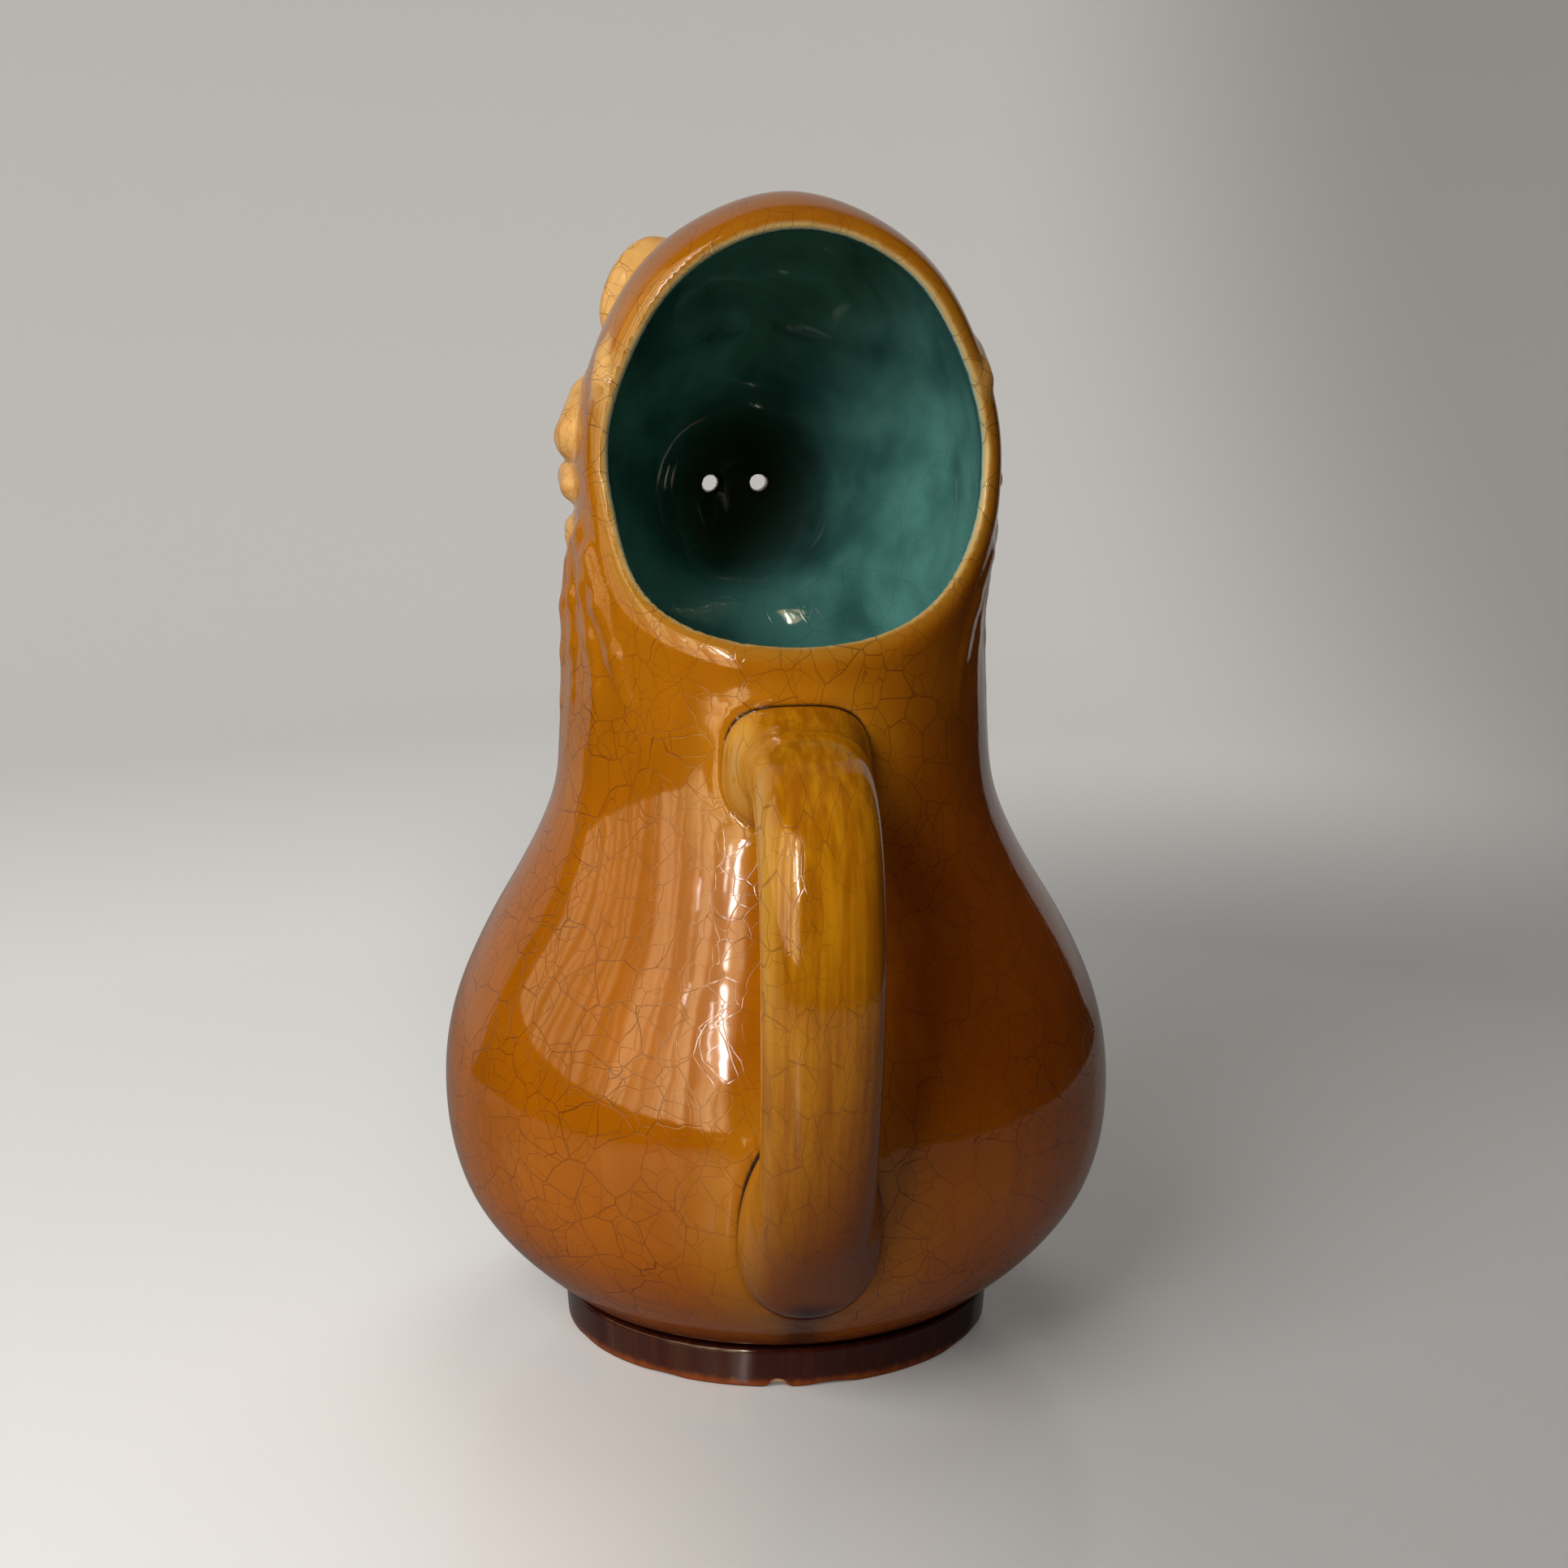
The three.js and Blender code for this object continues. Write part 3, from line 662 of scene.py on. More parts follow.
@dataclass
class Handle:
    """The strap handle and the two pads that hold it. Millimetres."""

    pot: Pot
    half_width: float = 12.1
    half_thickness: float = 8.4
    reach: float = 95.5
    top: float = 137.0
    foot: float = 45.8
    swing: float = math.radians(2)
    upper_half: Pair = (14.4, 11.8)
    upper_proud: float = 5.4
    lower_half: Pair = (14.1, 22.6)
    lower_proud: float = 2.9
    upper_power: float = 3.2
    lower_power: float = 2.2
    upper_round: float = 5.5
    lower_round: float = 4.6
    pad_join: float = 8.0
    pads_behind: float = -20.0
    strap_power: float = 2.35
    back_sink: float = 1.2
    stain_width: float = 5.4
    stain_rise: float = 8.5
    curve_steps: int = 24
    table_box: tuple = ((22, -6), (112, 172), 1.0)
    # Share of the way out, share of the way up, and size of the section along the strap
    shares: tuple = (
        (-0.3, 0.9, 1.06), (-0.06, 0.97, 1.04), (0.3, 1.03, 1.02), (0.62, 1.02, 1), (0.86, 0.94, 1),
        (0.975, 0.78, 1), (1, 0.62, 1), (0.965, 0.43, 0.98), (0.88, 0.24, 0.97), (0.76, 0.09, 0.97),
        (0.6, -0.02, 0.97), (0.42, -0.09, 0.93), (0.22, -0.16, 0.85), (0.0, -0.24, 0.75),
    )  # fmt: skip
    table: PlanarTable = field(init=False)

    def __post_init__(self) -> None:
        """Works out the strap's centre line."""
        rows = np.array([
            (
                self.pot.neck_radius + (self.reach - self.pot.neck_radius) * out,
                self.foot + (self.top - self.foot) * up,
                size,
            )
            for out, up, size in self.shares
        ])
        self.curve = spline(rows, self.curve_steps)
        along = np.linalg.norm(np.diff(self.curve[:, :2], axis=0), axis=1)
        self.way = np.concatenate([[0], np.cumsum(along)])
        self.table = PlanarTable(*self.table_box, self.strap_plane)

    def strap_plane(self, q: Array) -> Array:
        """Offset from the strap's centre line, section size and way along it, in the strap's plane."""
        off = q[:, None] - self.curve[None, :, :2]
        nearest = (off**2).sum(axis=2).argmin(axis=1)
        nearest = np.clip(nearest, 1, len(self.curve) - 2)
        along = self.curve[nearest + 1, :2] - self.curve[nearest - 1, :2]
        along /= np.linalg.norm(along, axis=1)[:, None]
        gap = q - self.curve[nearest, :2]
        offset = along[:, 1] * gap[:, 0] - along[:, 0] * gap[:, 1]
        further = (gap * along).sum(axis=1)
        return np.stack([-offset, self.curve[nearest, 2], self.way[nearest] + further], axis=1)

    def turned(self, p: Array) -> tuple[Array, Array, Array]:
        """Sideways, outward and upward places of points, once the handle's swing is undone."""
        c, s = math.cos(self.swing), math.sin(self.swing)
        back = -p[:, 1]
        return p[:, 0] * c + back * s, back * c - p[:, 0] * s, p[:, 2]

    def strap(self, p: Array) -> Array:
        """Distance to the strap."""
        x, out, z = self.turned(p)
        offset, size, _ = self.table.read(out, z).T
        local = np.stack([x / size, offset / size, np.zeros_like(x)], axis=1)
        half = (self.half_width, self.half_thickness, ENDLESS)
        return blob(local, (0, 0, 0), half, self.strap_power) * size

    def pad_edges(self, p: Array) -> list[Array]:
        """Distances along the skin from the upper and the lower pad's edge, negative under them."""
        x, _, z = self.turned(p)
        found = []
        upper = (self.top, self.upper_half, self.upper_power)
        for height, half, power in (upper, (self.foot, self.lower_half, self.lower_power)):
            flat = np.stack([x, z - height, np.zeros_like(x)], axis=1)
            found.append(blob(flat, (0, 0, 0), (*half, ENDLESS), power))
        return found

    def edges(self, p: Array) -> Array:
        """Distance along the pot's skin from the nearer pad's edge."""
        return np.where(p[:, 1] < self.pads_behind, np.minimum(*self.pad_edges(p)), FAR_OFF)

    def stain(self, p: Array) -> Array:
        """How dark the run of glaze is at the tip of the lower pad and under it, from 0 to 1."""
        x, _, z = self.turned(p)
        tip = self.foot - self.lower_half[1]
        wide = self.stain_width + 0.7 * np.sin(0.9 * z)
        under = smooth_step(tip + self.stain_rise - z - 0.02 * x**2, 0, 4.5)
        run = hump(x - 0.25 * np.sin(0.5 * z), wide) * under
        return np.where(p[:, 1] < self.pads_behind, run, 0)

    def pads(self, p: Array, outer: Array) -> Array:
        """Distance to the two pads.

        Args:
            p: Points, one a row.
            outer: Distance of these from the pot's skin.

        Returns:
            Distances to the nearer pad.
        """
        upper, lower = self.pad_edges(p)
        upper = smooth_keep(upper, outer - self.upper_proud, self.upper_round)
        lower = smooth_keep(lower, outer - self.lower_proud, self.lower_round)
        return np.where(p[:, 1] < self.pads_behind, np.minimum(upper, lower), FAR)

    def solid(self, p: Array) -> Array:
        """Distance to the whole handle, with its back just inside the pot's skin."""
        outer = self.pot.outer(p)
        made = smooth_join(self.strap(p), self.pads(p, outer), self.pad_join)
        return smooth_keep(made, -self.back_sink - outer, 0.8)


@dataclass
class Jug:
    """The whole clay form apart from the foot ring, the eyes and the handle. Millimetres."""

    pot: Pot
    face: Face
    handle: Handle
    # Depth, place and width of the groove round a pad, and of the low welt outside it
    groove: Place = (0.35, 0.1, 0.9)
    welt: Place = (0.2, 2.4, 1.5)
    foot_gap: float = 0.3
    foot_round: float = 2.4
    plug_top: float = 14.0
    inner_unevenness: float = 0.6
    floor_round: float = 4.0
    least_wall: float = 2.6
    least_wall_round: float = 1.5
    holes_between: Pair = (62.0, 92.0)
    hole_round: float = 1.6

    def block(self, p: Array, outer: Array) -> Array:
        """Distance to the filled jug, with its face, from the distance to the pot's plain block."""
        d = outer + self.pot.wobble(p)
        edge = self.handle.edges(p)
        (deep, inner, narrow), (high, further, wide) = self.groove, self.welt
        d += deep * hump(edge - inner, narrow) - high * hump(edge - further, wide)
        d = smooth_keep(d, self.pot.foot_height + self.foot_gap - p[:, 2], self.foot_round)
        plug = np.maximum(np.hypot(p[:, 0], p[:, 1]) - self.pot.plug_radius, self.pot.recess - p[:, 2])
        low = p[:, 2] < self.plug_top + 2
        if low.any():
            d[low] = np.minimum(d[low], np.maximum(plug, p[:, 2] - self.plug_top)[low])
        self.face.add(d, p)
        return d

    def inside(self, p: Array, outer: Array) -> Array:
        """Distance to the jug's hollow, from the distance to the pot's plain block."""
        d = outer + self.inner_unevenness * self.pot.wobble(p) + self.pot.wall
        d = smooth_keep(d, self.pot.floor(p) - p[:, 2], self.floor_round)
        self.face.hollow(d, p)
        return d

    def lip_way(self, p: Array) -> Array:
        """The way over the lip: below zero inside the jug, above zero outside, about zero on the lip.

        Args:
            p: Points on the skin.

        Returns:
            Millimetres along the skin from the middle of the lip.
        """
        outer, half = self.pot.outer(p), self.pot.wall / 2
        across = np.clip((self.block(p, outer) + self.inside(p, outer)) / 2, -half, half)
        return across * (1 + np.maximum(self.pot.opening(p), 0) / half)

    def solid(self, p: Array) -> Array:
        """Distance to the clay."""
        outer = self.pot.outer(p)
        block = self.block(p, outer)
        hollow = smooth_keep(self.inside(p, outer), block + self.least_wall, self.least_wall_round)
        shell = np.maximum(block, -hollow)
        start, end = self.holes_between
        near_holes = (p[:, 1] > start) & (p[:, 1] < end)
        if near_holes.any():
            holes = self.face.holes(p[near_holes])
            shell[near_holes] = smooth_keep(shell[near_holes], -holes, self.hole_round)
        return smooth_keep(shell, -self.pot.opening(p), self.pot.lip_round)


# From distances to meshes


def evaluate(form: Field, p: Array) -> Array:
    """A field's values at many points, worked out a part at a time."""
    parts = np.array_split(p, max(1, len(p) // CHUNK))
    with ThreadPoolExecutor(THREADS) as pool:
        return np.concatenate(list(pool.map(form, parts)))


def slope(form: Field, p: Array, step: float) -> tuple[Array, Array]:
    """A field's value and gradient, from four samples round each point.

    Args:
        form: The field.
        p: Points, one a row.
        step: How far away the samples are.

    Returns:
        The value and the gradient at each point.
    """
    corners = np.array([(1, -1, -1), (-1, -1, 1), (-1, 1, -1), (1, 1, 1)], float)
    found = [evaluate(form, p + step * corner) for corner in corners]
    gradient = sum(corner * value[:, None] for corner, value in zip(corners, found)) / (4 * step)
    return sum(found) / 4, gradient


@dataclass
class Skin:
    """A closed skin of quads with smooth normals, in millimetres."""

    points: Array
    quads: Array
    normals: Array

    def centres(self) -> Array:
        """The middle of each quad."""
        return self.points[self.quads].mean(axis=1)

    def neighbour_mean(self, values: Array) -> Array:
        """The mean of each point's neighbours' values along the quads' edges."""
        a = self.quads.ravel()
        b = np.roll(self.quads, -1, axis=1).ravel()
        count = np.bincount(a, minlength=len(self.points)) + np.bincount(b, minlength=len(self.points))
        columns = values.reshape(len(values), -1).T
        sums = [
            np.bincount(a, c[b], len(c)) + np.bincount(b, c[a], len(c))
            for c in columns
        ]
        return (np.stack(sums, axis=1) / np.maximum(count, 1)[:, None]).reshape(values.shape)

    def concavity(self, rounds: int) -> Array:
        """How hollow the skin is at each point, above zero in a hollow and below zero on a ridge.

        Args:
            rounds: How many times the values are spread to their neighbours.

        Returns:
            One value for each point, in 1/mm.
        """
        mean = self.neighbour_mean(self.points)
        square = (self.points**2).sum(axis=1)
        reach = self.neighbour_mean(square) - 2 * (self.points * mean).sum(axis=1) + square
        made = 2 * ((mean - self.points) * self.normals).sum(axis=1) / np.maximum(reach, 0.1)
        for _ in range(rounds):
            made = 0.5 * made + 0.5 * self.neighbour_mean(made)
        return made


def net_of(form: Field, axes: Sequence[Array]) -> Skin:
    """Wraps a skin of quads round the inside of a distance field.

    Args:
        form: The field, in millimetres, negative inside.
        axes: Grid lines along x, y and z.

    Returns:
        The skin, drawn onto the field's zero.
    """
    counts = [len(a) for a in axes]
    owners = [np.arange(n) // BLOCK for n in counts]
    middles = [np.array([a[o == i].mean() for i in range(o[-1] + 1)]) for a, o in zip(axes, owners)]
    coarse = np.stack(np.meshgrid(*middles, indexing="ij"), axis=-1)
    value = evaluate(form, coarse.reshape(-1, 3)).reshape(coarse.shape[:3])
    steps = [float(np.diff(a).max()) for a in axes]
    reach = 0.5 * BLOCK * math.sqrt(sum(s * s for s in steps)) * 1.6 + 6
    spread = np.ix_(*owners)
    values = np.where(value > 0, FAR, -FAR)[spread]
    active = (np.abs(value) < reach)[spread]
    at = np.argwhere(active)

    def spots(cells: Array) -> Array:
        """The grid's points at some indices."""
        return np.stack([axis[cells[:, i]] for i, axis in enumerate(axes)], axis=1)

    values[active] = evaluate(form, spots(at))
    inside = values < 0

    cells = np.zeros([n - 1 for n in counts], int)
    for dx in (0, 1):
        for dy in (0, 1):
            for dz in (0, 1):
                ends = [n - 1 + o for n, o in zip(counts, (dx, dy, dz))]
                cells += inside[dx : ends[0], dy : ends[1], dz : ends[2]]
    used = (cells > 0) & (cells < 8)
    base = np.argwhere(used)
    name = np.full(cells.shape, -1)
    name[used] = np.arange(len(base))
    total, hits = np.zeros((len(base), 3)), np.zeros(len(base))
    corners = np.array([(i, j, k) for i in (0, 1) for j in (0, 1) for k in (0, 1)])
    for a in corners:
        for axis in range(3):
            if a[axis]:
                continue
            b = a.copy()
            b[axis] = 1
            ia, ib = base + a, base + b
            fa, fb = values[tuple(ia.T)], values[tuple(ib.T)]
            crossing = (fa < 0) != (fb < 0)
            t = np.where(crossing, fa / np.where(crossing, fa - fb, 1), 0)
            pa, pb = spots(ia), spots(ib)
            total += np.where(crossing[:, None], pa + t[:, None] * (pb - pa), 0)
            hits += crossing
    points = total / hits[:, None]

    quads = []
    for axis in range(3):
        b, c = (axis + 1) % 3, (axis + 2) % 3
        low = [slice(None)] * 3
        high = [slice(None)] * 3
        low[axis], high[axis] = slice(0, -1), slice(1, None)
        crossing = np.argwhere(inside[tuple(low)] != inside[tuple(high)])
        keep = (crossing[:, b] > 0) & (crossing[:, c] > 0)
        keep &= (crossing[:, b] < counts[b] - 1) & (crossing[:, c] < counts[c] - 1)
        crossing = crossing[keep]
        ring = []
        for db, dc in ((-1, -1), (0, -1), (0, 0), (-1, 0)):
            cell = crossing.copy()
            cell[:, b] += db
            cell[:, c] += dc
            ring.append(name[tuple(cell.T)])
        ring = np.stack(ring, axis=1)
        outward = inside[tuple(crossing.T)]
        quads.append(np.where(outward[:, None], ring, ring[:, ::-1]))
    skin = Skin(points, np.concatenate(quads), np.zeros_like(points))
    limit = 0.5 * min(steps)
    skin.points = 0.5 * skin.points + 0.5 * skin.neighbour_mean(skin.points)
    for _ in range(2):
        value, gradient = slope(form, skin.points, 0.05)
        move = gradient * (value / np.maximum((gradient**2).sum(axis=1), 0.05))[:, None]
        size = np.linalg.norm(move, axis=1)
        skin.points -= move * np.minimum(1, limit / np.maximum(size, 1e-9))[:, None]
    normals = slope(form, skin.points, NORMAL_STEP)[1]
    skin.normals = normals / np.maximum(np.linalg.norm(normals, axis=1), 1e-9)[:, None]
    return skin


def placed(name: str, data: bpy.types.ID | None) -> Piece:
    """A new object in the scene."""
    made = bpy.data.objects.new(name, data)
    bpy.context.scene.collection.objects.link(made)
    return made


def make_object(
    name: str,
    points: Array,
    quads: Array,
    normals: Array | None = None,
    values: dict[str, Array] | None = None,
) -> Piece:
    """Makes a Blender object from points in millimetres.

    Args:
        name: The object's name.
        points: Its points.
        quads: Its faces, four points each.
        normals: A smooth normal for each point.
        values: Named values for each point, kept as attributes for the glaze.

    Returns:
        The object, at the origin, with its place in its mesh.
    """
    mesh = bpy.data.meshes.new(name)
    mesh.vertices.add(len(points))
    mesh.vertices.foreach_set("co", (points * MM).astype(np.float32).ravel())
    mesh.loops.add(quads.size)
    mesh.loops.foreach_set("vertex_index", quads.astype(np.int32).ravel())
    mesh.polygons.add(len(quads))
    mesh.polygons.foreach_set("loop_start", np.arange(0, quads.size, quads.shape[1], dtype=np.int32))
    mesh.polygons.foreach_set("use_smooth", np.ones(len(quads), bool))
    mesh.update(calc_edges=True)
    mesh.validate()
    if normals is not None:
        mesh.normals_split_custom_set_from_vertices(normals.astype(np.float32))
    for key, data in (values or {}).items():
        kind, part = ("FLOAT", "value") if data.ndim == 1 else ("FLOAT_VECTOR", "vector")
        attribute = mesh.attributes.new(key, kind, "POINT")
        attribute.data.foreach_set(part, data.astype(np.float32).ravel())
    return placed(name, mesh)


def closed_patch(
    name: str, skin: Skin, chosen: Array, thick: float, values: dict[str, Array]
) -> Piece:
    """Makes one piece of a skin a closed coat of glaze.

    Args:
        name: The piece's name.
        skin: The whole skin.
        chosen: Which of its quads belong to the piece.
        thick: How deep the coat goes under the skin.
        values: Named values for each point of the skin.

    Returns:
        The piece.
    """
    quads = skin.quads[chosen]
    used, inverse = np.unique(quads, return_inverse=True)
    quads = inverse.reshape(-1, 4)
    count = len(used)
    a, b = quads.ravel(), np.roll(quads, -1, axis=1).ravel()
    edges = a.astype(np.int64) * count + b
    back = b.astype(np.int64) * count + a
    border = ~np.isin(edges, back)
    walls = np.stack([b[border], a[border], a[border] + count, b[border] + count], axis=1)
    faces = np.concatenate([quads, quads[:, ::-1] + count, walls])
    points, normals = skin.points[used], skin.normals[used]
    both = np.concatenate([points, points - thick * normals])
    turned = np.concatenate([normals, -normals])
    kept = {key: np.concatenate([data[used], data[used]]) for key, data in values.items()}
    return make_object(name, both, faces, turned, kept)


# Node trees


Value = float | Sequence[float] | Socket


class Graph:
    """A node tree, with short ways to add nodes and join them."""

    def __init__(self, tree: Tree) -> None:
        """Starts with an empty tree."""
        self.tree = tree
        tree.nodes.clear()

    def add(
        self, kind: str, inputs: dict[str | int, Value] | None = None, **settings: object
    ) -> bpy.types.Node:
        """Adds a node.

        Args:
            kind: Its type.
            inputs: Constants and sockets for its inputs, by name or place.
            **settings: Its own settings.

        Returns:
            The node.
        """
        node = self.tree.nodes.new(kind)
        for key, value in settings.items():
            setattr(node, key, value)
        for key, value in (inputs or {}).items():
            self.feed(node.inputs[key], value)
        return node

    def feed(self, socket: Socket, value: Value) -> None:
        """Links a socket to an input, or sets the input's constant."""
        if isinstance(value, Socket):
            self.tree.links.new(value, socket)
        else:
            socket.default_value = value

    def math(self, operation: str, a: Value, b: Value = 0.0) -> Socket:
        """A sum of one or two numbers."""
        return self.add("ShaderNodeMath", {0: a, 1: b}, operation=operation).outputs[0]

    def plus(self, a: Value, b: Value) -> Socket:
        """One number and another."""
        return self.math("ADD", a, b)

    def minus(self, a: Value, b: Value) -> Socket:
        """One number less another."""
        return self.math("SUBTRACT", a, b)

    def times(self, a: Value, b: Value) -> Socket:
        """One number times another."""
        return self.math("MULTIPLY", a, b)

    def over(self, a: Value, b: Value) -> Socket:
        """One number over another."""
        return self.math("DIVIDE", a, b)

    def most(self, a: Value, b: Value) -> Socket:
        """The greater of two numbers."""
        return self.math("MAXIMUM", a, b)

    def swing(self, a: Value, size: float) -> Socket:
        """Noise from 0 to 1 made to swing about zero, with that size from end to end."""
        return self.times(self.minus(a, 0.5), size)

    def split(self, a: Value) -> Sequence[Socket]:
        """The three parts of a vector."""
        return tuple(self.add("ShaderNodeSeparateXYZ", {0: a}).outputs)

    def joined(self, x: Value, y: Value = 0.0, z: Value = 0.0) -> Socket:
        """A vector made of three numbers."""
        return self.add("ShaderNodeCombineXYZ", {0: x, 1: y, 2: z}).outputs[0]

    def grey(self, a: Value) -> Socket:
        """A number as a grey colour."""
        return self.joined(a, a, a)

    def vector(self, operation: str, a: Value, b: Value = (0, 0, 0)) -> Socket:
        """A sum of one or two vectors."""
        node = self.add("ShaderNodeVectorMath", {0: a, 1: b}, operation=operation)
        return node.outputs["Value" if operation in ("DOT_PRODUCT", "LENGTH") else "Vector"]

    def scaled(self, a: Value, size: Value) -> Socket:
        """A vector times a number."""
        node = self.add("ShaderNodeVectorMath", {0: a, "Scale": size}, operation="SCALE")
        return node.outputs["Vector"]

    def ramp(
        self, a: Value, low: float, high: float, start: float = 0.0, end: float = 1.0
    ) -> Socket:
        """A smooth ramp over a range, from a start value to an end value. low may be above high."""
        if low > high:
            low, high, start, end = high, low, end, start
        inputs = {"Value": a, "From Min": low, "From Max": high, "To Min": start, "To Max": end}
        return self.add("ShaderNodeMapRange", inputs, interpolation_type="SMOOTHSTEP").outputs["Result"]

    def blend(self, share: Value, a: Value, b: Value, mode: str = "MIX") -> Socket:
        """Two colours blended by a share of the second."""
        node = self.add("ShaderNodeMix", data_type="RGBA", blend_type=mode)
        for place, value in ((0, share), (6, a), (7, b)):
            self.feed(node.inputs[place], (*value, 1) if isinstance(value, tuple) else value)
        return node.outputs[2]

    def noise(self, at: Value, size: float, detail: float = 2.0) -> Socket:
        """Soft noise from 0 to 1, with lumps of a size in the units of its coordinates."""
        inputs = {"Vector": at, "Scale": 1 / size, "Detail": detail}
        return self.add("ShaderNodeTexNoise", inputs).outputs["Fac"]

    def attribute(self, name: str, kind: str = "Fac") -> Socket:
        """A value kept on the piece's own mesh."""
        return self.add("ShaderNodeAttribute", attribute_name=name).outputs[kind]


# The kind of socket that takes a value
SOCKETS = {float: "Float", int: "Int", tuple: "Vector", Material: "Material"}


def new_group(
    name: str, inputs: dict[str, object], outputs: dict[str, str], kind: str = "ShaderNodeTree"
) -> tuple[Graph, bpy.types.Node, bpy.types.Node]:
    """Starts a node group.

    Args:
        name: Its name.
        inputs: Default of each input, which also says its kind.
        outputs: Socket kind of each output.
        kind: Type of the tree.

    Returns:
        The graph, and its input and output nodes.
    """
    tree = bpy.data.node_groups.new(name, kind)
    for key, value in inputs.items():
        found = f"NodeSocket{SOCKETS[type(value)]}"
        socket = tree.interface.new_socket(key, in_out="INPUT", socket_type=found)
        socket.default_value = value
    for key, found in outputs.items():
        tree.interface.new_socket(key, in_out="OUTPUT", socket_type=f"NodeSocket{found}")
    graph = Graph(tree)
    return graph, graph.add("NodeGroupInput"), graph.add("NodeGroupOutput")


# Glazes


@dataclass(frozen=True)
class Crazing:
    """The net of hair cracks in a glaze. Sizes in millimetres."""

    warp: float = 3.4
    warp_size: float = 17.0
    ripple: float = 0.55
    ripple_size: float = 3.6
    least_slant: float = 0.04

    def build(self) -> Tree:
        """A group that gives the cracks' mask at a place on the skin."""
        inputs = {"Position": ORIGIN, "Normal": ORIGIN, "Cell": 12.0, "Width": 0.2}
        outputs = {"Line": "Float", "Cell Color": "Color"}
        graph, given, result = new_group("crazing", inputs, outputs)
        at, normal = given.outputs["Position"], given.outputs["Normal"]
        for size, reach in ((self.warp_size, self.warp), (self.ripple_size, self.ripple)):
            lumps = graph.add("ShaderNodeTexNoise", {"Vector": at, "Scale": 1 / size, "Detail": 0.0})
            push = graph.vector("SUBTRACT", lumps.outputs["Color"], (0.5, 0.5, 0.5))
            at = graph.vector("ADD", at, graph.scaled(push, 2 * reach))
        cell = given.outputs["Cell"]
        local = graph.scaled(at, graph.over(1.0, cell))
        first = graph.add("ShaderNodeTexVoronoi", {"Vector": local, "Scale": 1.0}, feature="F1")
        second = graph.add("ShaderNodeTexVoronoi", {"Vector": local, "Scale": 1.0}, feature="F2")
        a, b = first.outputs["Position"], second.outputs["Position"]
        across = graph.vector("NORMALIZE", graph.vector("SUBTRACT", b, a))
        middle = graph.scaled(graph.vector("ADD", a, b), 0.5)
        gap = graph.vector("DOT_PRODUCT", graph.vector("SUBTRACT", middle, local), across)
        # The wall between two cells meets the skin at a slant, and the line keeps its width
        lean = graph.vector("DOT_PRODUCT", across, normal)
        square = graph.minus(1.0, graph.times(lean, lean))
        flat = graph.math("SQRT", graph.most(square, self.least_slant))
        far = graph.times(graph.over(gap, flat), cell)
        width = given.outputs["Width"]
        line = graph.add(
            "ShaderNodeMapRange",
            {"Value": far, "From Min": 0.0, "From Max": width, "To Min": 1.0, "To Max": 0.0},
            interpolation_type="SMOOTHSTEP",
        )
        graph.feed(result.inputs["Line"], line.outputs["Result"])
        graph.feed(result.inputs["Cell Color"], first.outputs["Color"])
        return graph.tree


@dataclass(frozen=True)
class Surface:
    """The height of a glaze's skin in millimetres: slow waves, fine ripples and the cracks."""

    wave: float = 0.15
    wave_size: float = 24.0
    ripple: float = 0.034
    ripple_size: float = 5.5
    crack: float = 0.014

    def build(self) -> Tree:
        """A group that gives the height at a place on the skin."""
        inputs = {"Position": ORIGIN, "Line": 0.0}
        graph, given, result = new_group("glaze_height", inputs, {"Height": "Float"})
        at = given.outputs["Position"]
        height = graph.times(graph.noise(at, self.wave_size, 1.0), self.wave)
        fine = graph.times(graph.noise(at, self.ripple_size, 1.0), self.ripple)
        cut = graph.times(given.outputs["Line"], self.crack)
        graph.feed(result.inputs["Height"], graph.minus(graph.plus(height, fine), cut))
        return graph.tree


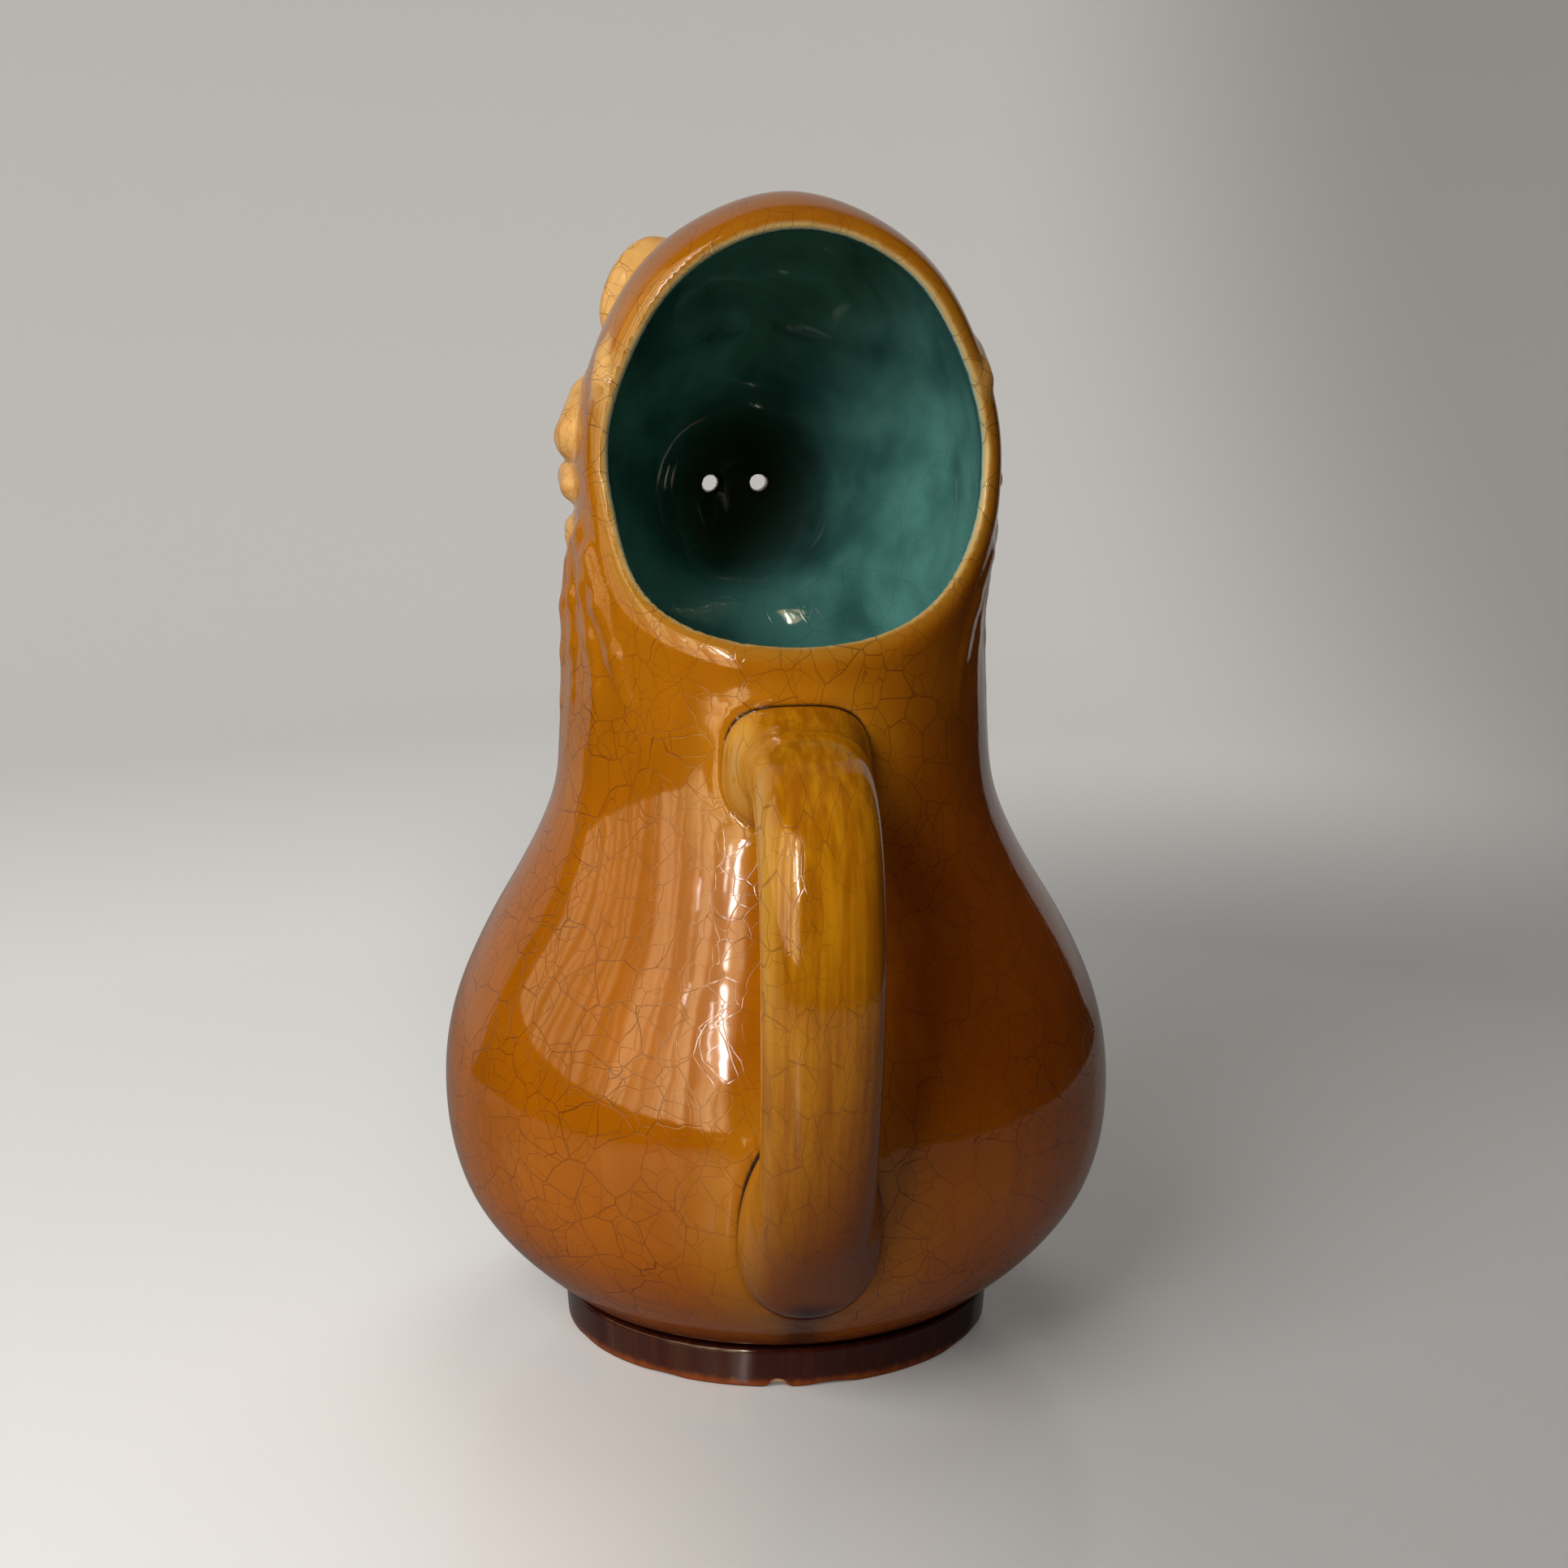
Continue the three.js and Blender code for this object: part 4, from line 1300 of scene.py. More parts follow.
@dataclass(frozen=True)
class JugColours:
    """The glaze colours that run into each other over the clay skin, with painted shade by the foot,
    down the right side and in the muzzle's hollow.
    """

    amber: Colour = (0.43, 0.118, 0.0008)
    amber_low: Colour = (0.47, 0.122, 0.001)
    amber_light: Colour = (0.58, 0.235, 0.008)
    # Painted shade down the right side, and darker towards the crown
    amber_painted_shade_and_crown: Colour = (0.27, 0.052, 0.0006)
    # Painted shadow in the groove above the foot ring
    foot_groove_shadow: Colour = (0.085, 0.014, 0.005)
    run: Colour = (0.05, 0.009, 0.006)
    pool: Colour = (0.30, 0.16, 0.12)
    tan: Colour = (0.82, 0.46, 0.14)
    tan_deep: Colour = (0.60, 0.25, 0.045)
    gold: Colour = (0.44, 0.20, 0.02)
    cream: Colour = (0.62, 0.43, 0.16)
    pale: Colour = (0.40, 0.50, 0.40)
    teal: Colour = (0.10, 0.29, 0.25)
    teal_deep: Colour = (0.035, 0.12, 0.11)
    # Painted shade inside the muzzle's hollow
    teal_cavity_shade: Colour = (0.035, 0.055, 0.036)
    # Ways from the lip where a colour starts and is full
    gold_band: Band = (5.0, 1.2)
    cream_band: Band = (0.7, -0.8)
    pale_band: Band = (-1.1, -2.0)
    teal_band: Band = (-1.9, -3.1)
    outside_band: Band = (-3.0, -2.0)
    # Least shade, and what clouds and streaks add to it
    shades: Place = (0.66, 0.42, 0.26)

    def build(self) -> Tree:
        """A group that gives the colour at a place on the skin."""
        inputs = {"Position": ORIGIN, **dict.fromkeys(CLAY_VALUES, 0.0)}
        outputs = {"Color": "Color", "Outside": "Float"}
        graph, given, result = new_group("jug_colour", inputs, outputs)
        at = given.outputs["Position"]
        clouds = graph.noise(at, 30.0, 3.0)
        fine = graph.noise(at, 4.0, 2.0)
        streaks = graph.noise(graph.vector("MULTIPLY", at, (1, 1, 0.09)), 5.0, 2.0)
        x, y, z = graph.split(at)
        height = graph.plus(z, graph.swing(clouds, 34.0))
        colour = graph.blend(graph.ramp(height, 74.0, 20.0), self.amber, self.amber_low)
        # Painted shade down the right side, away from the key lamp, and darker towards the top of the
        # crown
        side = graph.plus(x, graph.swing(streaks, 40.0))
        side = graph.times(graph.ramp(side, 4.0, 30.0), graph.ramp(height, 46.0, 82.0))
        deep = graph.most(graph.times(side, 0.85), graph.ramp(z, 226.0, 244.0))
        colour = graph.blend(deep, colour, self.amber_painted_shade_and_crown)
        # Painted shadow: dark just above the foot ring, where the body curves in over it
        colour = graph.blend(graph.ramp(z, 15.5, 9.5), colour, self.foot_groove_shadow)
        halo = graph.times(graph.ramp(given.outputs["pad_way"], 17.0, 0.5), 0.6)
        neck = graph.times(graph.ramp(height, 108.0, 156.0), 0.3)
        colour = graph.blend(graph.most(halo, neck), colour, self.amber_light)
        colour = graph.blend(graph.times(given.outputs["run"], 0.8), colour, self.run)
        clouded = graph.ramp(graph.plus(fine, clouds), 0.8, 1.5, 0.0, 0.7)
        tan = graph.blend(clouded, self.tan, self.tan_deep)
        border = graph.plus(given.outputs["tan_way"], graph.times(fine, 2.0))
        colour = graph.blend(graph.ramp(border, 4.4, 0.4), colour, tan)
        least, by_clouds, by_streaks = self.shades
        shade = graph.plus(graph.times(clouds, by_clouds), graph.times(streaks, by_streaks))
        shade = graph.plus(shade, least)
        colour = graph.vector("MULTIPLY", colour, graph.grey(shade))
        hollow = given.outputs["hollow"]
        colour = graph.blend(graph.ramp(hollow, 0.035, 0.26), colour, self.pool, "MULTIPLY")
        ridge = graph.times(graph.ramp(hollow, -0.07, -0.26), 0.4)
        colour = graph.blend(ridge, colour, self.amber_light)
        way = graph.plus(given.outputs["lip_way"], graph.minus(fine, 0.5))
        far = graph.plus(way, graph.swing(clouds, 5.0))
        gold = graph.times(graph.ramp(far, *self.gold_band), graph.ramp(z, 226.0, 240.0, 0.6, 0.15))
        colour = graph.blend(gold, colour, self.gold)
        colour = graph.blend(graph.ramp(way, *self.cream_band), colour, self.cream)
        colour = graph.blend(graph.ramp(way, *self.pale_band), colour, self.pale)
        clouded = graph.ramp(graph.plus(clouds, hollow), 0.62, 0.36)
        teal = graph.blend(clouded, self.teal, self.teal_deep)
        # Painted shade: the teal darkens towards the front, inside the muzzle's hollow
        teal = graph.blend(graph.ramp(y, 46.0, 78.0), teal, self.teal_cavity_shade)
        colour = graph.blend(graph.ramp(way, *self.teal_band), colour, teal)
        graph.feed(result.inputs["Color"], colour)
        graph.feed(result.inputs["Outside"], graph.ramp(way, *self.outside_band))
        return graph.tree


@dataclass(frozen=True)
class JugGlaze:
    """The glossy glaze of the clay skin's slots."""

    roughness: float = 0.07
    crack: Colour = (0.12, 0.028, 0.005)
    crack_inside: Colour = (0.02, 0.06, 0.055)
    # Painted shade in the groove round each pad
    seam: Colour = (0.03, 0.008, 0.004)
    # Size of the cells and width of the cracks of either net
    coarse: Pair = (8.8, 0.18)
    fine: Pair = (4.8, 0.14)
    split_share: float = 0.8
    patch_size: float = 34.0
    # How much a crack shows inside and outside
    shows: Band = (0.0, 1.0, 0.28, 0.8)

    def build(
        self,
        slot: str,
        colours: Tree,
        cracks: Tree,
        height: Tree,
    ) -> Material:
        """Makes the material of one slot.

        Args:
            slot: The slot's name.
            colours: Group of the running colours.
            cracks: Group of the crazing.
            height: Group of the glaze's height.

        Returns:
            The material.
        """
        material, graph, shader = new_material(slot, self.roughness)
        at = position_in_mm(graph)
        normal = object_normal(graph)
        inputs = {"Position": at, **{name: graph.attribute(name) for name in CLAY_VALUES}}
        colour = graph.add("ShaderNodeGroup", inputs, node_tree=colours)
        nets = []
        for cell, width in (self.coarse, self.fine):
            inputs = {"Position": at, "Normal": normal, "Cell": cell, "Width": width}
            nets.append(graph.add("ShaderNodeGroup", inputs, node_tree=cracks))
        cells = graph.add("ShaderNodeSeparateColor", {0: nets[0].outputs["Cell Color"]})
        split = graph.ramp(cells.outputs[0], 0.25, 0.4)
        fine = graph.times(nets[1].outputs["Line"], graph.times(split, self.split_share))
        line = graph.most(nets[0].outputs["Line"], fine)
        patchy = graph.ramp(graph.noise(at, self.patch_size, 2.0), 0.36, 0.6, 0.4, 1.0)
        line = graph.times(line, patchy)
        stain = graph.blend(colour.outputs["Outside"], self.crack_inside, self.crack)
        share = graph.ramp(colour.outputs["Outside"], *self.shows)
        crazed = graph.blend(graph.times(line, share), colour.outputs["Color"], stain)
        # Painted shade: a dark line in the groove at each pad's edge
        seam = graph.ramp(graph.attribute("pad_way"), 1.1, 0.3)
        graph.feed(shader.inputs["Base Color"], graph.blend(seam, crazed, self.seam))
        add_height(graph, shader, at, line, height)
        return material


def new_material(
    name: str, roughness: float
) -> tuple[Material, Graph, bpy.types.ShaderNodeBsdfPrincipled]:
    """Starts a material with a plain shader.

    Args:
        name: Its name.
        roughness: The shader's roughness.

    Returns:
        The material, its graph and the shader.
    """
    material = bpy.data.materials.new(name)
    material.use_nodes = True
    graph = Graph(material.node_tree)
    shader = graph.add("ShaderNodeBsdfPrincipled", {"Roughness": roughness, "IOR": 1.5})
    output = graph.add("ShaderNodeOutputMaterial")
    graph.feed(output.inputs["Surface"], shader.outputs[0])
    return material, graph, shader


def position_in_mm(graph: Graph) -> Socket:
    """Object coordinates in millimetres."""
    return graph.scaled(graph.add("ShaderNodeTexCoord").outputs["Object"], 1 / MM)


def object_normal(graph: Graph) -> Socket:
    """The surface's own normal."""
    return graph.add("ShaderNodeNewGeometry").outputs["Normal"]


def add_height(
    graph: Graph, shader: bpy.types.Node, at: Value, line: Value, height: Tree
) -> None:
    """Feeds the glaze's height to a shader's normal.

    Args:
        graph: The material's graph.
        shader: Its shader.
        at: Place in millimetres.
        line: Mask of the cracks.
        height: Group of the glaze's height.
    """
    group = graph.add("ShaderNodeGroup", {"Position": at, "Line": line}, node_tree=height)
    inputs = {"Strength": 1.0, "Distance": MM, "Height": group.outputs["Height"]}
    bump = graph.add("ShaderNodeBump", inputs)
    graph.feed(shader.inputs["Normal"], bump.outputs["Normal"])


@dataclass(frozen=True)
class HandleGlaze:
    """The handle's glaze: streaks along the strap and cracks that run along and across it, with painted
    shade and a painted highlight.
    """

    roughness: float = 0.08
    light: Colour = (0.56, 0.22, 0.004)
    deep: Colour = (0.36, 0.108, 0.0008)
    # Darker towards the bottom, with painted shade down the strap's right side
    low: Colour = (0.25, 0.062, 0.003)
    # Painted highlight on the strap's left edge
    edge: Colour = (0.80, 0.42, 0.07)
    # Painted shade where the handle's back meets the pot
    seam: Colour = (0.03, 0.008, 0.004)
    pool: Colour = (0.30, 0.16, 0.12)
    run: Colour = (0.045, 0.008, 0.006)
    crack: Colour = (0.12, 0.035, 0.008)
    # Size of the cells across, along and in depth, width of the cracks and their share
    nets: tuple = (((3.6, 11.0, 30.0), 0.035, 0.8), ((2.6, 4.2, 30.0), 0.05, 0.55))
    crack_share: float = 0.6

    def build(self, slot: str, height: Tree) -> Material:
        """Makes the material.

        Args:
            slot: The slot's name.
            height: Group of the glaze's height.

        Returns:
            The material.
        """
        material, graph, shader = new_material(slot, self.roughness)
        at = position_in_mm(graph)
        strap = graph.attribute("strap_way", "Vector")
        z = graph.split(at)[2]
        clouds = graph.noise(at, 22.0, 3.0)
        grain = graph.noise(graph.vector("MULTIPLY", strap, (1, 0.05, 0.3)), 1.8, 3.0)
        mix = graph.plus(graph.times(grain, 0.9), graph.times(clouds, 0.6))
        colour = graph.blend(graph.ramp(mix, 0.5, 0.98), self.light, self.deep)
        height_less_right_shade = graph.plus(z, graph.times(clouds, 16.0))
        x = graph.split(strap)[0]
        # Painted shade: the strap's right side, away from the key lamp, counts as lower and darkens
        height_less_right_shade = graph.minus(height_less_right_shade, graph.times(x, 1.6))
        colour = graph.blend(graph.ramp(height_less_right_shade, 108.0, 40.0), colour, self.low)
        # Painted highlight along the upper strap's left edge, which faces the key lamp
        edge = graph.times(graph.ramp(x, -7.5, -12.0), graph.ramp(z, 80.0, 120.0, 0.15, 0.6))
        colour = graph.blend(edge, colour, self.edge)
        hollow = graph.attribute("hollow")
        colour = graph.blend(graph.ramp(hollow, 0.04, 0.3), colour, self.pool, "MULTIPLY")
        colour = graph.blend(graph.attribute("run"), colour, self.run)
        bend = graph.add("ShaderNodeTexNoise", {"Vector": strap, "Scale": 1 / 9, "Detail": 1.0})
        push = graph.scaled(graph.vector("SUBTRACT", bend.outputs["Color"], (0.5, 0.5, 0.5)), 4.0)
        warped = graph.vector("ADD", strap, push)
        lines = []
        for size, width, share in self.nets:
            local = graph.vector("DIVIDE", warped, size)
            net = graph.add(
                "ShaderNodeTexVoronoi",
                {"Vector": local, "Scale": 1.0, "Randomness": 0.85},
                feature="DISTANCE_TO_EDGE",
                voronoi_dimensions="2D",
            )
            lines.append(graph.times(graph.ramp(net.outputs["Distance"], width, 0.0), share))
        patchy = graph.ramp(graph.noise(at, 16.0, 2.0), 0.4, 0.62)
        lines[1] = graph.times(lines[1], patchy)
        line = graph.most(*lines)
        line = graph.times(line, graph.ramp(graph.noise(at, 28.0, 1.0), 0.35, 0.55, 0.25, 1.0))
        crazed = graph.blend(graph.times(line, self.crack_share), colour, self.crack)
        # Painted shade: dark where the handle's back meets the pot's skin
        seam = graph.ramp(graph.attribute("pot_way"), 0.8, 0.1)
        graph.feed(shader.inputs["Base Color"], graph.blend(seam, crazed, self.seam))
        add_height(graph, shader, at, line, height)
        return material


@dataclass(frozen=True)
class FootGlaze:
    """The dark brown glaze of the foot, worn lighter at its edges."""

    roughness: float = 0.09
    deep: Colour = (0.05, 0.009, 0.006)
    worn: Colour = (0.34, 0.07, 0.006)
    bare: Colour = (0.62, 0.42, 0.22)

    def build(self, slot: str, height: Tree) -> Material:
        """Makes the material.

        Args:
            slot: The slot's name.
            height: Group of the glaze's height.

        Returns:
            The material.
        """
        material, graph, shader = new_material(slot, self.roughness)
        at = position_in_mm(graph)
        z = graph.split(at)[2]
        streaks = graph.noise(graph.vector("MULTIPLY", at, (1, 1, 0.16)), 2.4, 3.0)
        ragged = graph.plus(z, graph.times(streaks, 2.4))
        colour = graph.blend(graph.ramp(ragged, 3.8, 1.4), self.deep, self.worn)
        colour = graph.blend(graph.ramp(streaks, 0.5, 0.74, 0.0, 0.1), colour, self.worn)
        colour = graph.blend(graph.ramp(graph.attribute("chip"), 0.3, 0.7), colour, self.bare)
        graph.feed(shader.inputs["Base Color"], colour)
        add_height(graph, shader, at, 0.0, height)
        return material


@dataclass(frozen=True)
class EyeGlaze:
    """The eyes' glaze: a brown iris round a black pupil, under a wet gloss."""

    roughness: float = 0.05
    pupil: Colour = (0.006, 0.004, 0.003)
    iris: Colour = (0.16, 0.045, 0.006)
    white: Colour = (0.50, 0.33, 0.14)

    def build(self, slot: str) -> Material:
        """Makes the material of the eyes' slot."""
        material, graph, shader = new_material(slot, self.roughness)
        gaze = graph.attribute("gaze")
        colour = graph.blend(graph.ramp(gaze, 0.80, 0.84), self.white, self.iris)
        colour = graph.blend(graph.ramp(gaze, 0.935, 0.955), colour, self.pupil)
        graph.feed(shader.inputs["Base Color"], colour)
        return material


# The jug's pieces


class Region(Enum):
    """The pieces that the clay skin is glazed in."""

    BODY = "body_skin"
    HEAD = "head_skin"
    LIP = "lip"
    LINING = "lining_head"
    LINING_LOW = "lining_body"
    MUZZLE = "muzzle_skin"
    BROW = "brow_ridge"
    EAR_LEFT = "ear_left_skin"
    EAR_RIGHT = "ear_right_skin"
    RUFF_LEFT = "ruff_left"
    RUFF_RIGHT = "ruff_right"


RUFF = ("temple_curl", "cheek_tuft", "jaw_tuft", "throat_tuft")
STANDS_FOR = {
    Region.BODY: ("amber_glaze", ("body_shell",)),
    Region.HEAD: ("amber_glaze", ("head_shell",)),
    Region.LIP: ("rim_glaze", ("rim_lip",)),
    Region.LINING: ("turquoise_glaze", ("interior_glaze",)),
    Region.LINING_LOW: ("turquoise_glaze", ("interior_glaze",)),
    Region.MUZZLE: ("tan_glaze", ("muzzle",)),
    Region.BROW: ("amber_glaze", ("brow",)),
    Region.EAR_LEFT: ("tan_glaze", ("ear_left",)),
    Region.EAR_RIGHT: ("tan_glaze", ("ear_right",)),
    Region.RUFF_LEFT: ("tan_glaze", tuple(f"{name}_left" for name in RUFF)),
    Region.RUFF_RIGHT: ("tan_glaze", tuple(f"{name}_right" for name in RUFF)),
}


def settle(
    piece: Piece, slot: str, nodes: Sequence[str], material: Material
) -> None:
    """Dresses a piece, hangs it on the body and hides the CAD nodes that it stands for.

    Args:
        piece: The piece.
        slot: The record's material slot.
        nodes: The CAD nodes that it replaces.
        material: Its glaze.
    """
    piece.data.materials.clear()
    piece.data.materials.append(material)
    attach(piece, BODY)
    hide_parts(*nodes)
    log.info("%s: %d faces, %s", piece.name, len(piece.data.polygons), slot)


@dataclass
class ClaySkin:
    """The jug's clay, skinned and divided into glazed pieces."""

    jug: Jug
    coat: float = 0.5
    body_step: float = 1.75
    head_step: float = 1.2
    side_step: float = 1.35
    seam: float = 152.0
    lining_seam: float = 110.0
    muzzle_top: float = 216.0
    face_from: float = 30.0
    brow_half: float = 5.0
    brow_proud: float = 0.9
    ear_box: tuple = ((-0.5, 0, -1), (10.8, 14.0, 6.4), 2.5)
    ear_proud: float = 0.7
    tuft_reach: float = 0.25
    tuft_proud: float = 0.3
    ruff_ends: float = 60.0
    lip_half: float = 4.5
    lip_reach: float = 5.0
    # First and last grid line across, along and up
    grid: tuple = ((-77.3, 78.4), (-77.3, 85.6), (-2.0, 256.0))

    def axes(self) -> list[Array]:
        """Grid lines: closer together in the head than in the body."""
        size = 1.0
        *sides, (floor, top) = self.grid
        body = np.arange(floor, self.seam, self.body_step * size)
        head = np.arange(body[-1] + self.head_step * size, top, self.head_step * size)
        x, y = (np.arange(start, end, self.side_step * size) for start, end in sides)
        return [x, y, np.concatenate([body, head])]

    def regions(self, p: Array) -> Array:
        """The region of each point of the skin, as an index into Region."""
        jug, order = self.jug, list(Region)
        pot, face = jug.pot, jug.face
        _, y, z = p.T
        outer = evaluate(pot.outer, p)
        way = evaluate(jug.lip_way, p)
        names = np.full(len(p), order.index(Region.HEAD))
        names[z < self.seam] = order.index(Region.BODY)
        muzzle = face.muzzle(p, 0)
        ahead = y > self.face_from
        names[(muzzle < outer - 0.5) & ahead] = order.index(Region.MUZZLE)
        names[(z > self.muzzle_top) & (muzzle < 3) & ahead] = order.index(Region.HEAD)
        brow, half = face.brow_height, self.brow_half
        level = (z > brow - half) & (z < brow + half)
        names[level & ahead & (outer > self.brow_proud)] = order.index(Region.BROW)
        for side, ear, region in zip((-1, 1), face.ears, (Region.EAR_LEFT, Region.EAR_RIGHT)):
            local = face.ear_local(p, side, ear)
            mine = (blob(local, *self.ear_box) < 0) & (outer > self.ear_proud)
            names[mine] = order.index(region)
        for a, b, r0, r1 in face.tufts():
            mine = (rod(p, a, b, r0, r1) < self.tuft_reach) & (outer > self.tuft_proud)
            mine &= y < self.ruff_ends
            region = Region.RUFF_LEFT if a[0] < 0 else Region.RUFF_RIGHT
            names[mine & (names != order.index(Region.MUZZLE))] = order.index(region)
        names[way < 0] = order.index(Region.LINING)
        names[(way < 0) & (z < self.lining_seam)] = order.index(Region.LINING_LOW)
        rim = (pot.opening(p) < self.lip_reach) & (y < self.lip_reach)
        names[(np.abs(way) < self.lip_half) & rim] = order.index(Region.LIP)
        return names

    def build(self, materials: dict[str, Material]) -> None:
        """Makes the pieces.

        Args:
            materials: The glazes by the record's slot.
        """
        jug = self.jug
        skin = net_of(jug.solid, self.axes())
        log.info("clay skin: %d points, %d quads", len(skin.points), len(skin.quads))
        values = {
            "lip_way": evaluate(jug.lip_way, skin.points),
            "hollow": skin.concavity(14),
            "tan_way": evaluate(jug.face.tan_way, skin.points),
            "pad_way": jug.handle.edges(skin.points),
            "run": jug.handle.stain(skin.points),
        }
        regions = self.regions(skin.centres())
        for index, region in enumerate(Region):
            slot, nodes = STANDS_FOR[region]
            piece = closed_patch(region.value, skin, regions == index, self.coat, values)
            settle(piece, slot, nodes, materials[slot])


@dataclass
class HandleSkin:
    """The handle with its pads, as one closed piece."""

    handle: Handle
    step: float = 1.0
    # First and last grid line across, along and up
    grid: tuple = ((-20, 20), (-106, -36), (18, 156))

    def build(self, material: Material) -> None:
        """Makes the piece with its glaze."""
        step = self.step * 1.0
        axes = [np.arange(start, end, step) for start, end in self.grid]
        skin = net_of(self.handle.solid, axes)
        x, out, z = self.handle.turned(skin.points)
        way = self.handle.table.read(out, z)[:, 2]
        values = {
            "strap_way": np.stack([x, way, out], axis=1),
            "hollow": skin.concavity(10),
            "pot_way": evaluate(self.handle.pot.outer, skin.points),
            "run": self.handle.stain(skin.points),
        }
        piece = make_object("handle_skin", skin.points, skin.quads, skin.normals, values)
        nodes = ("handle", "upper_handle_pad", "lower_handle_pad")
        settle(piece, "handle_glaze", nodes, material)


def stored(graph: Graph, geometry: Value, name: str, value: Value) -> Socket:
    """The geometry with a named value kept at each point."""
    node = graph.add("GeometryNodeStoreNamedAttribute", {"Geometry": geometry, "Name": name})
    node.data_type, node.domain = "FLOAT", "POINT"
    graph.feed(node.inputs["Value"], value)
    return node.outputs[0]


def finish_tree(graph: Graph, geometry: Value, glaze: Value, result: bpy.types.NodeGroupOutput) -> None:
    """Ends a Geometry Nodes tree: smooth faces, real instances and the glaze.

    Args:
        graph: The tree's graph.
        geometry: The finished form.
        glaze: Its material.
        result: The tree's output node.
    """
    smooth = graph.add("GeometryNodeSetShadeSmooth", {"Geometry": geometry})
    real = graph.add("GeometryNodeRealizeInstances", {"Geometry": smooth.outputs[0]})
    inputs = {"Geometry": real.outputs[0], "Material": glaze}
    graph.feed(result.inputs[0], graph.add("GeometryNodeSetMaterial", inputs).outputs[0])


def finished_by(tree: Tree, name: str, inputs: dict[str, object]) -> Piece:
    """Runs a Geometry Nodes tree and keeps its result as a plain mesh.

    Args:
        tree: The tree.
        name: The finished piece's name.
        inputs: Values for the tree's inputs, by socket name.

    Returns:
        The piece.
    """
    base = placed(f"{name}_base", bpy.data.meshes.new(f"{name}_base"))
    modifier = base.modifiers.new("shape", "NODES")
    modifier.node_group = tree
    for item in tree.interface.items_tree:
        if item.item_type == "SOCKET" and item.in_out == "INPUT" and item.name in inputs:
            modifier[item.identifier] = inputs[item.name]
    depsgraph = bpy.context.evaluated_depsgraph_get()
    mesh = bpy.data.meshes.new_from_object(base.evaluated_get(depsgraph), depsgraph=depsgraph)
    base.modifiers.remove(modifier)
    bpy.data.objects.remove(base)
    mesh.name = name
    return placed(name, mesh)


# What a Geometry Nodes tree hands out, and its kind
GEOMETRY_TREE = ({"Geometry": "Geometry"}, "GeometryNodeTree")


@dataclass
class FootRing:
    """The turned foot ring, a little uneven, with a chip in its lower edge. Millimetres."""

    inner: float = 40.0
    outer: float = 48.0
    top: float = 48.6
    height: float = 9.0
    corner: float = 0.8
    wave: float = 0.55
    chip_turn: float = math.radians(-97)
    chip_size: float = 3.4
    around: int = 320
    across: int = 72

    def tree(self, inputs: dict[str, object]) -> Tree:
        """The tree that turns the ring's section about the jug's axis, with those inputs."""
        graph, given, result = new_group("turned_foot", inputs, *GEOMETRY_TREE)
        get = given.outputs
        section = graph.add("GeometryNodeCurvePrimitiveQuadrilateral", mode="POINTS")
        corners = (
            (get["Inner Radius"], 0.0),
            (get["Outer Radius"], 0.0),
            (get["Top Radius"], get["Height"]),
            (get["Inner Radius"], get["Height"]),
        )
        for number, corner in enumerate(corners, 1):
            graph.feed(section.inputs[f"Point {number}"], graph.joined(*corner))
        inputs = {"Curve": section.outputs[0], "Radius": get["Corner"], "Count": 6}
        fillet = graph.add("GeometryNodeFilletCurve", inputs, mode="POLY")
        inputs = {"Vertices X": get["Around"], "Vertices Y": get["Across"]}
        sheet = graph.add("GeometryNodeMeshGrid", {"Size X": 1.0, "Size Y": 1.0, **inputs})
        across, up, _ = graph.split(graph.add("GeometryNodeInputPosition").outputs[0])
        angle = graph.times(graph.plus(across, 0.5), 2 * math.pi)
        inputs = {"Curves": fillet.outputs[0], "Factor": graph.plus(up, 0.5)}
        point = graph.add("GeometryNodeSampleCurve", inputs, mode="FACTOR")
        radius, height, _ = graph.split(point.outputs["Position"])
        x, y = (graph.times(radius, graph.math(part, angle)) for part in ("COSINE", "SINE"))
        turned = graph.joined(x, y, height)
        inputs = {"Geometry": sheet.outputs[0], "Position": turned}
        ring = graph.add("GeometryNodeSetPosition", inputs)
        inputs = {"Geometry": ring.outputs[0], "Distance": 1e-6}
        joined = graph.add("GeometryNodeMergeByDistance", inputs)
        at = graph.add("GeometryNodeInputPosition").outputs[0]
        low = graph.split(at)[2]
        lumps = graph.noise(at, 0.024, 1.0)
        near_floor = graph.ramp(graph.over(low, get["Height"]), 0.8, 0.0)
        rise = graph.times(graph.ramp(lumps, 0.46, 0.66), get["Wave"])
        gap = graph.vector("LENGTH", graph.vector("SUBTRACT", at, get["Chip Place"]))
        chip = graph.ramp(graph.over(gap, get["Chip Size"]), 1.0, 0.25)
        rise = graph.plus(rise, graph.times(chip, graph.times(get["Chip Size"], 0.3)))
        lift = graph.joined(0.0, 0.0, graph.times(rise, near_floor))
        inputs = {"Geometry": joined.outputs[0], "Offset": lift}
        uneven = graph.add("GeometryNodeSetPosition", inputs)
        kept = stored(graph, uneven.outputs[0], "chip", chip)
        finish_tree(graph, kept, get["Glaze"], result)
        return graph.tree

    def build(self, material: Material) -> None:
        """Makes the ring with its glaze."""
        turn, edge = self.chip_turn, self.outer
        inputs = {
            "Inner Radius": self.inner * MM,
            "Outer Radius": self.outer * MM,
            "Top Radius": self.top * MM,
            "Height": self.height * MM,
            "Corner": self.corner * MM,
            "Wave": self.wave * MM,
            "Chip Place": (edge * math.cos(turn) * MM, edge * math.sin(turn) * MM, 0.0),
            "Chip Size": self.chip_size * MM,
            "Around": self.around + 1,
            "Across": self.across + 1,
            "Glaze": material,
        }
        piece = finished_by(self.tree(inputs), "turned_foot", inputs)
        settle(piece, "foot_glaze", ("foot_ring",), material)


